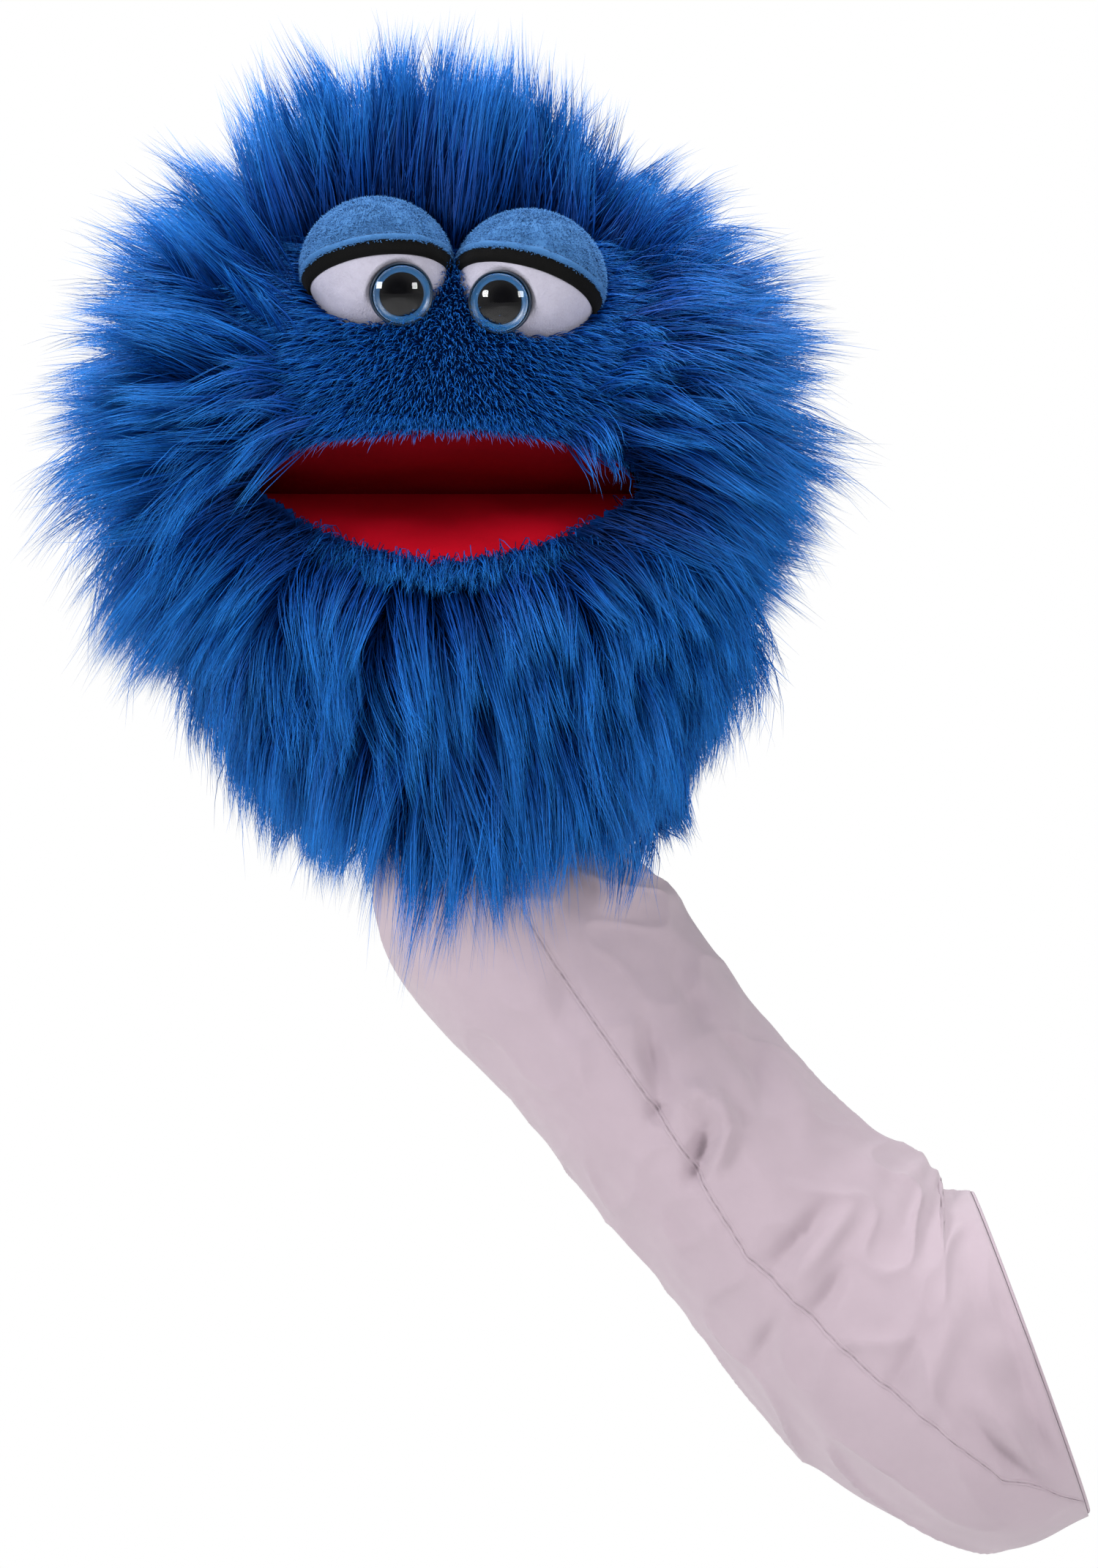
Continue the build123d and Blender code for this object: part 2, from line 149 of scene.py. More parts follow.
# ---- settings -----------------------------------------------------------------------------
class PileSettings(bpy.types.PropertyGroup):
    """The long pile of the head and beard, and the short pile of the muzzle."""

    length: FloatProperty(
        name="Pile length", description="Usual length of a lock", default=0.064, unit="LENGTH"
    )
    beard_length: FloatProperty(
        name="Beard length", description="Length of a lock under the chin", default=0.096, unit="LENGTH"
    )
    muzzle_length: FloatProperty(
        name="Muzzle pile", description="Length of the brushed pile", default=0.0085, unit="LENGTH"
    )
    head_locks: IntProperty(
        name="Head locks",
        description="Locks on the whole skin, of which the head has its share",
        default=3915,
    )
    jaw_locks: IntProperty(
        name="Jaw locks", description="Locks on the whole skin, of which the jaw has its share", default=4200
    )
    fibres: IntProperty(name="Fibres", description="Fibres in each lock", default=24)
    muzzle_fibres: IntProperty(
        name="Muzzle fibres",
        description="Fibres on the whole skin, of which the muzzle has its share",
        default=135000,
    )
    fibre_width: FloatProperty(
        name="Fibre width", description="Width of a fibre at its root", default=0.00062, unit="LENGTH"
    )
    # The root colour is painted shade down in the pile, and the tip colour is painted light on the tips.
    root_shade_colour: FloatVectorProperty(
        name="Root colour", description="Down in the pile", subtype="COLOR", default=(0.0004, 0.017, 0.100)
    )
    middle_colour: FloatVectorProperty(
        name="Middle colour", description="Halfway up", subtype="COLOR", default=(0.0010, 0.050, 0.27)
    )
    tip_light_colour: FloatVectorProperty(
        name="Tip colour", description="At the tips", subtype="COLOR", default=(0.014, 0.190, 0.60)
    )


class EyeSettings(bpy.types.PropertyGroup):
    """The fleece balls, plush lids and felt lash bands."""

    white: FloatVectorProperty(
        name="Ball colour",
        description="Fleece of the eyeballs",
        subtype="COLOR",
        default=(0.40, 0.385, 0.465),
    )
    lid: FloatVectorProperty(
        name="Lid colour", description="Plush of the lids", subtype="COLOR", default=(0.058, 0.178, 0.41)
    )
    lash: FloatVectorProperty(
        name="Lash colour",
        description="Felt of the lash bands",
        subtype="COLOR",
        default=(0.004, 0.004, 0.004),
    )
    iris: FloatVectorProperty(
        name="Iris colour", description="Printed iris", subtype="COLOR", default=(0.0015, 0.040, 0.110)
    )
    lid_rise: FloatProperty(
        name="Lid rise",
        description="How far the lid's edge rises to the front",
        subtype="ANGLE",
        default=math.radians(23),
    )
    lid_slant: FloatProperty(
        name="Lid slant",
        description="How far the lid's edge falls to the outside",
        subtype="ANGLE",
        default=math.radians(12.6),
    )


class ClothSettings(bpy.types.PropertyGroup):
    """The sleeve's cotton and the mouth's felt."""

    sleeve: FloatVectorProperty(
        name="Sleeve colour", description="Plain cotton", subtype="COLOR", default=(0.39, 0.312, 0.357)
    )
    felt: FloatVectorProperty(
        name="Mouth colour", description="Red felt", subtype="COLOR", default=(0.56, 0.003, 0.016)
    )
    thickness: FloatProperty(
        name="Cloth thickness", description="Thickness of the sleeve", default=0.001, unit="LENGTH"
    )
    fold_depth: FloatProperty(
        name="Fold depth", description="Depth of the sleeve's creases", default=0.0042, unit="LENGTH"
    )


# ---- shading ------------------------------------------------------------------------------
def new_group(name, inputs, outputs):
    """A shader node group with number and colour sockets, and its two ends."""
    group = bpy.data.node_groups.new(name, "ShaderNodeTree")
    kinds = {float: "NodeSocketFloat", tuple: "NodeSocketColor"}
    for label, value in inputs.items():
        socket = group.interface.new_socket(label, in_out="INPUT", socket_type=kinds[type(value)])
        socket.default_value = value
    for label, kind in outputs.items():
        group.interface.new_socket(label, in_out="OUTPUT", socket_type=kind)
    start = group.nodes.new("NodeGroupInput")
    end = group.nodes.new("NodeGroupOutput")
    return group, start, end


def math_node(tree, operation, first, second=0.5, clamp=False):
    """A Math node; either value may be a number or a socket."""
    node = tree.nodes.new("ShaderNodeMath")
    node.operation = operation
    node.use_clamp = clamp
    for place, value in enumerate((first, second)):
        if isinstance(value, (int, float)):
            node.inputs[place].default_value = value
        else:
            tree.links.new(value, node.inputs[place])
    return node.outputs[0]


def mix_colour(tree, share, first, second, blend="MIX"):
    """A colour mix; share may be a number or a socket, and so may the colours."""
    node = tree.nodes.new("ShaderNodeMix")
    node.data_type = "RGBA"
    node.blend_type = blend
    for socket, value in ((node.inputs[0], share), (node.inputs[6], first), (node.inputs[7], second)):
        if isinstance(value, (int, float, tuple)):
            socket.default_value = value
        else:
            tree.links.new(value, socket)
    return node.outputs[2]


def fibre_colour_group():
    """Colour along a fibre, from painted shade at the root to painted light at the tip, with a tone of its
    own for each fibre.
    """
    name = "Fibre colour"
    if name in bpy.data.node_groups:
        return bpy.data.node_groups[name]
    grey = (0.5, 0.5, 0.5, 1.0)
    inputs = {"Root": grey, "Middle": grey, "Tip": grey, "Variation": 0.35}
    group, start, end = new_group(name, inputs, {"Colour": "NodeSocketColor"})
    along = group.nodes.new("ShaderNodeUVMap")
    along.uv_map = "Strand"
    parts = group.nodes.new("ShaderNodeSeparateXYZ")
    group.links.new(along.outputs[0], parts.inputs[0])
    low = math_node(group, "MULTIPLY", parts.outputs[1], 2.0, clamp=True)
    high = math_node(group, "MULTIPLY_ADD", parts.outputs[1], 2.0, clamp=True)
    high.node.inputs[2].default_value = -1.0
    # The darker root is painted shade and the lighter tip is painted light.
    lower = mix_colour(group, low, start.outputs["Root"], start.outputs["Middle"])
    whole = mix_colour(group, high, lower, start.outputs["Tip"])
    spread = math_node(group, "SUBTRACT", parts.outputs[0], 0.5)
    spread = math_node(group, "MULTIPLY", spread, start.outputs["Variation"])
    spread = math_node(group, "MULTIPLY_ADD", spread, 2.0)
    spread.node.inputs[2].default_value = 1.0
    shade = group.nodes.new("ShaderNodeCombineXYZ")
    for place in range(3):
        group.links.new(spread, shade.inputs[place])
    group.links.new(mix_colour(group, 1.0, whole, shade.outputs[0], "MULTIPLY"), end.inputs[0])
    return group


def weave_group():
    """Crossed threads, as a height and as a mask of the gaps between them."""
    name = "Plain weave"
    if name in bpy.data.node_groups:
        return bpy.data.node_groups[name]
    outputs = {"Height": "NodeSocketFloat", "Gaps": "NodeSocketFloat"}
    group, start, end = new_group(name, {"Threads per metre": 1600.0, "Slub": 0.4}, outputs)
    place = group.nodes.new("ShaderNodeTexCoord")
    threads = []
    for direction in ("X", "Z"):
        wave = group.nodes.new("ShaderNodeTexWave")
        wave.bands_direction = direction
        wave.inputs["Distortion"].default_value = 1.2
        wave.inputs["Detail Scale"].default_value = 0.4
        group.links.new(place.outputs["Object"], wave.inputs["Vector"])
        group.links.new(start.outputs["Threads per metre"], wave.inputs["Scale"])
        threads.append(wave.outputs["Fac"])
    slub = group.nodes.new("ShaderNodeTexNoise")
    slub.inputs["Scale"].default_value = 420.0
    slub.inputs["Detail"].default_value = 4.0
    group.links.new(place.outputs["Object"], slub.inputs["Vector"])
    crossed = math_node(group, "MAXIMUM", *threads)
    lumps = math_node(group, "MULTIPLY", slub.outputs[0], start.outputs["Slub"])
    height = math_node(group, "ADD", crossed, lumps)
    group.links.new(height, end.inputs["Height"])
    group.links.new(math_node(group, "SUBTRACT", 1.0, crossed), end.inputs["Gaps"])
    return group


def nap_group():
    """The fine lumps of felt, fleece or short plush, and a soft unevenness of colour."""
    name = "Brushed nap"
    if name in bpy.data.node_groups:
        return bpy.data.node_groups[name]
    outputs = {"Height": "NodeSocketFloat", "Shade": "NodeSocketFloat"}
    group, start, end = new_group(name, {"Scale": 900.0, "Broad scale": 60.0}, outputs)
    place = group.nodes.new("ShaderNodeTexCoord")
    layers = []
    for label, detail in (("Scale", 5.0), ("Broad scale", 3.0)):
        layer = group.nodes.new("ShaderNodeTexNoise")
        layer.inputs["Detail"].default_value = detail
        layer.inputs["Roughness"].default_value = 0.65
        group.links.new(place.outputs["Object"], layer.inputs["Vector"])
        group.links.new(start.outputs[label], layer.inputs["Scale"])
        layers.append(layer.outputs[0])
    both = math_node(group, "MULTIPLY_ADD", layers[0], 0.6)
    group.links.new(layers[1], both.node.inputs[2])
    group.links.new(both, end.inputs["Height"])
    shade = math_node(group, "MULTIPLY", both, 0.62)
    group.links.new(shade, end.inputs["Shade"])
    return group


def new_material(name, colour, roughness=0.8, **values):
    """A material with one Principled shader; values set its other sockets."""
    material = bpy.data.materials.new(name)
    material.use_nodes = True
    tree = material.node_tree
    shader = tree.nodes["Principled BSDF"]
    shader.inputs["Base Color"].default_value = (*colour, 1.0)
    shader.inputs["Roughness"].default_value = roughness
    for label, value in values.items():
        shader.inputs[label.replace("_", " ")].default_value = value
    material.diffuse_color = (*colour, 1.0)
    return material, tree, shader


def tinted(colour, share):
    """A colour made darker or lighter, with each part held to one at most."""
    return tuple(min(1.0, share * part) for part in colour)


def group_node(tree, group, **values):
    """A node group in a material; values set its sockets."""
    node = tree.nodes.new("ShaderNodeGroup")
    node.node_tree = group
    for label, value in values.items():
        node.inputs[label.replace("_", " ")].default_value = value
    return node


def add_relief(tree, shader, height, depth, strength):
    """Fine relief on a shader, from a height socket."""
    bump = tree.nodes.new("ShaderNodeBump")
    bump.inputs["Distance"].default_value = depth
    bump.inputs["Strength"].default_value = strength
    tree.links.new(height, bump.inputs["Height"])
    tree.links.new(bump.outputs[0], shader.inputs["Normal"])


def pile_material(name, root, middle, tip, variation=0.4, roughness=0.5):
    """Fibres darker down in the pile and lighter at the tips, with painted shade and painted light, each a
    little unlike the next.
    """
    material, tree, shader = new_material(name, middle, roughness, Specular_IOR_Level=0.16)
    colours = {"Root": (*root, 1.0), "Middle": (*middle, 1.0), "Tip": (*tip, 1.0)}
    node = group_node(tree, fibre_colour_group(), Variation=variation, **colours)
    tree.links.new(node.outputs[0], shader.inputs["Base Color"])
    return material


def nap_material(name, colour, scale, broad=60.0, depth=0.0004, strength=0.5, sheen=0.3):
    """Felt, fleece or plush."""
    finish = {"Specular_IOR_Level": 0.05, "Sheen_Weight": sheen, "Sheen_Roughness": 0.5}
    material, tree, shader = new_material(name, colour, 0.9, **finish)
    nap = group_node(tree, nap_group(), Scale=scale, Broad_scale=broad)
    dark, light = (*tinted(colour, 0.68), 1.0), (*tinted(colour, 1.16), 1.0)
    tree.links.new(mix_colour(tree, nap.outputs["Shade"], dark, light), shader.inputs["Base Color"])
    add_relief(tree, shader, nap.outputs["Height"], depth, strength)
    return material


def cloth_material(name, colour, threads=1600.0, depth=0.00012, strength=0.45):
    """Plain woven cotton or tape, with painted shade in the gaps between its threads."""
    material, tree, shader = new_material(name, colour, 0.85, Sheen_Weight=0.2)
    weave = group_node(tree, weave_group(), Threads_per_metre=threads)
    nap = group_node(tree, nap_group(), Scale=260.0, Broad_scale=22.0)
    dark, light = (*tinted(colour, 0.90), 1.0), (*tinted(colour, 1.06), 1.0)
    base = mix_colour(tree, nap.outputs["Shade"], dark, light)
    # The gaps between the threads are darker: painted shade between them.
    gap = (*tinted(colour, 0.78), 1.0)
    share = math_node(tree, "MULTIPLY", weave.outputs["Gaps"], 0.35)
    tree.links.new(mix_colour(tree, share, base, gap), shader.inputs["Base Color"])
    add_relief(tree, shader, weave.outputs["Height"], depth, strength)
    return material


def clear_material(name):
    """Clear plastic that lets the lamps' light through to what is behind it."""
    material, tree, shader = new_material(name, (1, 1, 1), 0.02, Transmission_Weight=1.0, IOR=1.40)
    through = tree.nodes.new("ShaderNodeBsdfTransparent")
    light = tree.nodes.new("ShaderNodeLightPath")
    both = tree.nodes.new("ShaderNodeMixShader")
    tree.links.new(light.outputs["Is Shadow Ray"], both.inputs[0])
    tree.links.new(shader.outputs[0], both.inputs[1])
    tree.links.new(through.outputs[0], both.inputs[2])
    tree.links.new(both.outputs[0], tree.nodes["Material Output"].inputs[0])
    return material


def give_material(node, material):
    """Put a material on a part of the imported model."""
    part = frame["nodes"][node]
    part.data.materials.clear()
    part.data.materials.append(material)


# ---- meshes -------------------------------------------------------------------------------
def new_piece(name, points, faces, material):
    """A smooth-shaded mesh object in the scene."""
    mesh = bpy.data.meshes.new(name)
    mesh.from_pydata([tuple(p) for p in points], [], [tuple(f) for f in faces])
    mesh.materials.append(material)
    mesh.polygons.foreach_set("use_smooth", [True] * len(mesh.polygons))
    mesh.update()
    middle = sum((vertex.co for vertex in mesh.vertices), Vector()) / len(mesh.vertices)
    if sum(face.normal.dot(face.center - middle) * face.area for face in mesh.polygons) < 0:
        mesh.flip_normals()
    piece = bpy.data.objects.new(name, mesh)
    bpy.context.scene.collection.objects.link(piece)
    return piece


def thicken(piece, name, thickness, offset):
    """Give a sheet its thickness."""
    solid = piece.modifiers.new(name, "SOLIDIFY")
    solid.thickness = thickness
    solid.offset = offset


def unit(vectors):
    """Vectors made one long."""
    return vectors / np.maximum(np.linalg.norm(vectors, axis=-1, keepdims=True), 1e-12)


def grid_faces(rows, columns, closed_across=True):
    """Quads of a grid stored row by row, joined round in each row unless it is open."""
    last = columns if closed_across else columns - 1
    return [
        (
            row * columns + column,
            row * columns + (column + 1) % columns,
            (row + 1) * columns + (column + 1) % columns,
            (row + 1) * columns + column,
        )
        for row in range(rows - 1)
        for column in range(last)
    ]


def fibre_pattern(share):
    """One fibre's loops, each face's start and size, and each loop's place along and round it."""
    rings = len(share) - 1
    loops, starts, totals, along, around = [], [], [], [], []

    def face(corners, places, turns):
        starts.append(len(loops))
        totals.append(len(corners))
        loops.extend(corners)
        along.extend(places)
        around.extend(turns)

    for ring in range(rings - 1):
        low, high, base = share[ring], share[ring + 1], 3 * ring
        for corner in range(3):
            after = (corner + 1) % 3
            corners = (base + corner, base + after, base + 3 + after, base + 3 + corner)
            face(corners, (low, low, high, high), (corner, corner + 1, corner + 1, corner))
    low, base = share[rings - 1], 3 * (rings - 1)
    for corner in range(3):
        corners = (base + corner, base + (corner + 1) % 3, 3 * rings)
        face(corners, (low, low, 1.0), (corner, corner + 1, corner + 0.5))
    face((2, 1, 0), (0.0, 0.004, 0.0), (0.0, 1.5, 3.0))
    return loops, starts, totals, along, around


def fibre_mesh(name, paths, width, shades, material):
    """Tapering three-sided fibres along paths of shape (fibres, rings + tip, 3)."""
    count, rings = paths.shape[0], paths.shape[1] - 1
    run = unit(np.gradient(paths, axis=1))
    across = unit(np.cross(run, np.roll(run[:, :1], 1, axis=2) + 0.31))
    over = np.cross(run, across)
    share = np.linspace(0, 1, rings + 1)
    taper = (1 - share**1.8) * (0.75 + 0.25 * np.sin(np.pi * share))
    radius = (0.5 * width[:, None] * taper[None, :])[:, :rings, None]
    corners = []
    for corner in range(3):
        turn = 2 * math.pi * corner / 3
        side = math.cos(turn) * across[:, :rings] + math.sin(turn) * over[:, :rings]
        corners.append(paths[:, :rings] + radius * side)
    body = np.stack(corners, axis=2).reshape(count, rings * 3, 3)
    points = np.concatenate([body, paths[:, -1:]], axis=1).reshape(-1, 3)

    loops, starts, totals, places, turns = fibre_pattern(share)
    number = np.arange(count)[:, None]
    loop_vertices = (np.array(loops)[None, :] + number * (rings * 3 + 1)).ravel()
    loop_starts = (np.array(starts)[None, :] + number * len(loops)).ravel()
    mesh = bpy.data.meshes.new(name)
    mesh.vertices.add(len(points))
    mesh.vertices.foreach_set("co", points.astype(np.float32).ravel())
    mesh.loops.add(len(loop_vertices))
    mesh.loops.foreach_set("vertex_index", loop_vertices.astype(np.int32))
    mesh.polygons.add(len(loop_starts))
    mesh.polygons.foreach_set("loop_start", loop_starts.astype(np.int32))
    mesh.polygons.foreach_set("loop_total", np.tile(totals, count).astype(np.int32))
    mesh.polygons.foreach_set("use_smooth", np.ones(len(loop_starts), bool))
    mesh.update(calc_edges=True)
    mesh.materials.append(material)

    # One map gives the shader a fibre's shade and length; the other lays its three sides out flat.
    columns = 64
    column = np.minimum((shades * columns).astype(int), columns - 1)
    along = np.tile(places, count)
    strand = np.repeat((column + 0.5) / columns, len(loops))
    baked = (np.repeat(column, len(loops)) + 0.08 + 0.28 * np.tile(turns, count)) / columns
    for label, across_map in (("Strand", strand), ("OFBake", baked)):
        layer = mesh.uv_layers.new(name=label)
        layer.data.foreach_set("uv", np.column_stack([across_map, along]).astype(np.float32).ravel())
    piece = bpy.data.objects.new(name, mesh)
    bpy.context.scene.collection.objects.link(piece)
    return piece


def fibre_pieces(name, paths, width, shades, share, material):
    """Fibres in numbered objects, with at most a given share of them in each."""
    pieces = []
    for number in range(math.ceil(len(paths) / share)):
        part = slice(number * share, (number + 1) * share)
        label = f"{name}_{number + 1}"
        pieces.append(fibre_mesh(label, paths[part], width[part], shades[part], material))
    return pieces


# ---- the head's skin ----------------------------------------------------------------------
def head_axes():
    """The length and direction of the line from wrist to head's centre, and two directions across it."""
    rise = HEAD_CENTRE - NECK
    length = np.linalg.norm(rise)
    axis = rise / length
    side = unit(np.array((1.0, 0.0, 0.0)) - axis * axis[0])
    return length, axis, side, np.cross(axis, side)


def skin_spots(count):
    """Evenly spread points on the head's skin, with their outward directions."""
    length, axis, side, back = head_axes()
    turn = np.linspace(0, math.pi / 2, 60)
    up = np.concatenate([length + SKIN_RADIUS * np.cos(turn), [level[0] for level in FUNNEL]])
    out = np.concatenate([SKIN_RADIUS * np.sin(turn), [level[1] for level in FUNNEL]])
    fine = np.linspace(0, len(up) - 1, 4000)
    up = np.interp(fine, np.arange(len(up)), up)
    out = np.interp(fine, np.arange(len(out)), out)
    steps = np.hypot(np.diff(up), np.diff(out))
    area = np.concatenate([[0], np.cumsum(steps * (out[1:] + out[:-1]))])
    wanted = (np.arange(count) + 0.5) / count * area[-1]
    place = np.interp(wanted, area, np.arange(len(area)))
    numbers = np.arange(len(up))
    height, radius = np.interp(place, numbers, up), np.interp(place, numbers, out)
    run = np.hypot(np.gradient(up), np.gradient(out))
    outward = -np.interp(place, numbers, np.gradient(up) / run)
    upward = np.interp(place, numbers, np.gradient(out) / run)
    angle = np.arange(count) * GOLDEN
    radial = np.cos(angle)[:, None] * side + np.sin(angle)[:, None] * back
    points = NECK + height[:, None] * axis + radius[:, None] * radial
    normals = unit(outward[:, None] * radial + upward[:, None] * axis)
    above = points[:, 2] > NECK[2] + 0.002
    return points[above], normals[above]


def below_front(points):
    """Degrees below straight forward of the hinge."""
    place = points - HINGE
    return np.degrees(np.arctan2(-place[..., 2], -place[..., 1]))


def in_mouth(points):
    """Whether a spot of skin is in the open mouth, a broad arch over a shallow bowl."""
    place = points - HINGE
    across = np.clip(np.abs(place[..., 0] - 0.002) / MOUTH_HALF_WIDTH, 0, 1)
    top = 0.0235 * (1 - across**3.6) ** 0.6
    bottom = -0.0278 * (1 - across**1.8)
    inside = (place[..., 2] < top) & (place[..., 2] > bottom) & (place[..., 1] < 0)
    return inside & (across < 1)


def on_jaw(points):
    """Whether a spot of skin goes with the chin, the throat or a corner of the mouth."""
    place, angle = points - HINGE, below_front(points)
    return (angle > UPPER_LIP) & (angle < THROAT) & (place[..., 2] > COLLAR_TOP)


def on_face(points, half_width, half_height):
    """Whether a spot is on the face, where the pile is short."""
    place = points - HINGE
    oval = ((place[..., 0] - FACE_MIDDLE) / half_width) ** 2 + ((place[..., 2] - 0.056) / half_height) ** 2
    return (oval < 1) & (place[..., 1] < 0) & (place[..., 2] < 0.084)


def eye_axes(side):
    """An eye's centre, and its directions to the right, up and forward."""
    along = np.array((math.cos(EYE_ROLL), 0.0, math.sin(EYE_ROLL)))
    upward = np.cross(FRONT, along)
    return EYES + along * side * EYE_SPACING / 2, along, upward, FRONT


def off_eyes(points, gap):
    """Whether points are clear of both eyeballs."""
    clear = np.ones(points.shape[:-1], bool)
    for side in SIDES.values():
        clear &= np.linalg.norm(points - eye_axes(side)[0], axis=-1) > EYE_RADIUS + gap
    return clear


def head_backing(pile):
    """The pile fabric's own woven back, in a head part and a part that gives with the jaw."""
    material = nap_material("pile_backing", tinted(pile.middle_colour, 0.4), 500.0, sheen=0.0)
    length, axis, side, back = head_axes()
    turn = np.linspace(0.01, math.pi / 2, 56)
    up = np.concatenate([length + SKIN_RADIUS * np.cos(turn), np.linspace(length - 0.002, -0.004, 70)])
    low = np.interp(up[56:], [FUNNEL[1][0], FUNNEL[0][0], length], [FUNNEL[1][1], FUNNEL[0][1], SKIN_RADIUS])
    out = np.concatenate([SKIN_RADIUS * np.sin(turn), low]) - 0.0004
    angle = np.linspace(0, 2 * math.pi, 160, endpoint=False)
    radial = np.cos(angle)[:, None] * side + np.sin(angle)[:, None] * back
    points = NECK + up[:, None, None] * axis + out[:, None, None] * radial[None]
    points[..., 2] = np.maximum(points[..., 2], NECK[2] + 0.0005)
    rows, columns = points.shape[:2]
    faces = np.array(grid_faces(rows, columns))
    flat = points.reshape(-1, 3)
    middle = flat[faces].mean(axis=1)
    open_mouth = in_mouth(middle)
    jaw = on_jaw(middle) & ~open_mouth
    pieces = []
    for name, chosen in (("head_backing", ~jaw & ~open_mouth), ("jaw_backing", jaw)):
        used, places = np.unique(faces[chosen], return_inverse=True)
        piece = new_piece(name, flat[used], places.reshape(-1, 4), material)
        thicken(piece, "Cloth", 0.0012, -1.0)
        pieces.append(piece)
    return pieces


# ---- the pile -----------------------------------------------------------------------------
def lock_lines(roots, normals, length, droop, rng, rings, spread=0.24, outward=None):
    """The middle line of each lock: out from the skin, then over and down."""
    count = len(roots)
    first = unit(normals + rng.normal(0, spread, (count, 3)))
    last = unit(normals * 0.9 + DOWN * droop[:, None] + rng.normal(0, spread * 1.6, (count, 3)))
    if outward is not None:
        first = unit(first + 0.6 * outward)
        last = unit(last + outward)
    share = np.linspace(0, 1, rings + 1)
    lines = [roots]
    for step in range(rings):
        middle = (share[step] + share[step + 1]) / 2
        run = unit(first * (1 - middle) + last * middle)
        lines.append(lines[-1] + run * (length / rings)[:, None])
    return np.stack(lines, axis=1)


def shape_to_reach(lines, normals, chin, rng):
    """Each lock shortened or drawn out so that the tips together make the head's outline."""
    angles, reaches = np.array(TIP_REACH).T
    root, tip = lines[:, 0] - HINGE, lines[:, -1] - HINGE
    turn = np.degrees(np.arctan2(tip[:, 2], tip[:, 0])) % 360
    wanted = np.interp(turn, angles, reaches) * rng.uniform(0.86, 1.05, len(lines))
    at_root = np.hypot(root[:, 0], root[:, 2])
    at_tip = np.hypot(tip[:, 0], tip[:, 2])
    share = (wanted - at_root) / np.maximum(at_tip - at_root, 0.004)
    edge = np.sqrt(np.clip(1 - normals[:, 1] ** 2, 0, 1)) ** 4
    centre = np.clip(1 - np.abs(root[:, 0] - PILE_MIDDLE) / 0.055, 0, 1)
    share = np.clip(share, 0.42, 1.02 + 0.5 * edge + 0.9 * chin * centre)
    share = np.where(at_tip < 0.9 * wanted, np.maximum(share, 1.0), share)
    return lines[:, :1] + (lines - lines[:, :1]) * share[:, None, None]


def held_back(lines, rng):
    """Locks that would stand too far forward or back laid flatter, with their length kept."""
    front = CAD_BOX[0][1] - 0.007
    back = CAD_BOX[1][1] + 0.007
    root = lines[:, :1, 1]
    away = lines[..., 1] - root
    room = rng.uniform(0.80, 1.0, len(lines))
    forward = (root[:, 0] - front) * room / np.maximum(-away.min(axis=1), 1e-6)
    rearward = (back - root[:, 0]) * room / np.maximum(away.max(axis=1), 1e-6)
    share = np.minimum(1, np.minimum(forward, rearward))[:, None]
    laid = lines.copy()
    laid[..., 1] = root + away * share
    return laid


def gathered(lines, rng, every, pull):
    """Locks drawn towards a leader among them, so that the pile falls in larger tufts."""
    leaders = rng.choice(len(lines), max(1, len(lines) // every), replace=False)
    tree = KDTree(len(leaders))
    for number, leader in enumerate(leaders):
        tree.insert(Vector(lines[leader, 0]), number)
    tree.balance()
    nearest = np.array([leaders[tree.find(Vector(line[0]))[1]] for line in lines])
    share = np.linspace(0, 1, lines.shape[1])
    hold = (pull * share**1.3)[None, :, None] * rng.uniform(0.5, 1.1, len(lines))[:, None, None]
    return lines * (1 - hold) + lines[nearest] * hold


def wandering(points, scale, seed):
    """A direction that changes slowly over the skin, so that neighbouring locks lie together."""
    noise.seed_set(WANDER_SEED)
    place = [Vector(point) * scale + Vector((seed, 2 * seed, 3 * seed)) for point in points]
    return np.array([noise.noise_vector(spot) for spot in place])


def lock_fibres(lines, normals, fibres, reach, rng):
    """Fibres about each lock's line that draw together towards its tip."""
    count, points = lines.shape[:2]
    share = np.linspace(0, 1, points)
    across = unit(np.cross(normals, rng.normal(0, 1, (count, 3))))
    over = np.cross(normals, across)
    turn = rng.uniform(0, 2 * math.pi, (count, fibres))
    away = reach * np.sqrt(rng.uniform(0, 1, (count, fibres)))
    offset = (
        across[:, None] * (np.cos(turn) * away)[..., None] + over[:, None] * (np.sin(turn) * away)[..., None]
    )
    together = 0.90 * (1.9 * share - 0.9 * share**2)
    loose = rng.uniform(0, 1, (count, fibres)) < 0.09
    hold = np.where(loose[..., None], 0.25, 1.0) * together[None, None, :]
    scale = rng.uniform(0.70, 1.04, (count, fibres)) * np.where(loose, 1.08, 1.0)
    centre = lines[:, None, 0, None] + (lines - lines[:, :1])[:, None] * scale[..., None, None]
    stray = rng.normal(0, 1, (count, fibres, 3)) * 0.0035
    waves = np.sin(share * math.pi * 1.5)[None, None, :, None] * stray[:, :, None] * 0.5
    ends = (share**2)[None, None, :, None] * stray[:, :, None]
    paths = centre + offset[:, :, None] * (1 - hold)[..., None] + waves + ends
    return paths.reshape(count * fibres, points, 3)


def pile_length(place, pile):
    """How long the pile stands at places measured from the hinge."""
    beard = np.clip((-0.020 - place[:, 2]) / 0.05, 0, 1) * np.clip((0.03 - place[:, 1]) / 0.05, 0, 1)
    side = np.clip(np.abs(place[:, 0] - PILE_MIDDLE) / 0.07, 0, 1)
    return pile.length * (1 - beard) + beard * (pile.beard_length * (1 - side) + 0.062 * side)


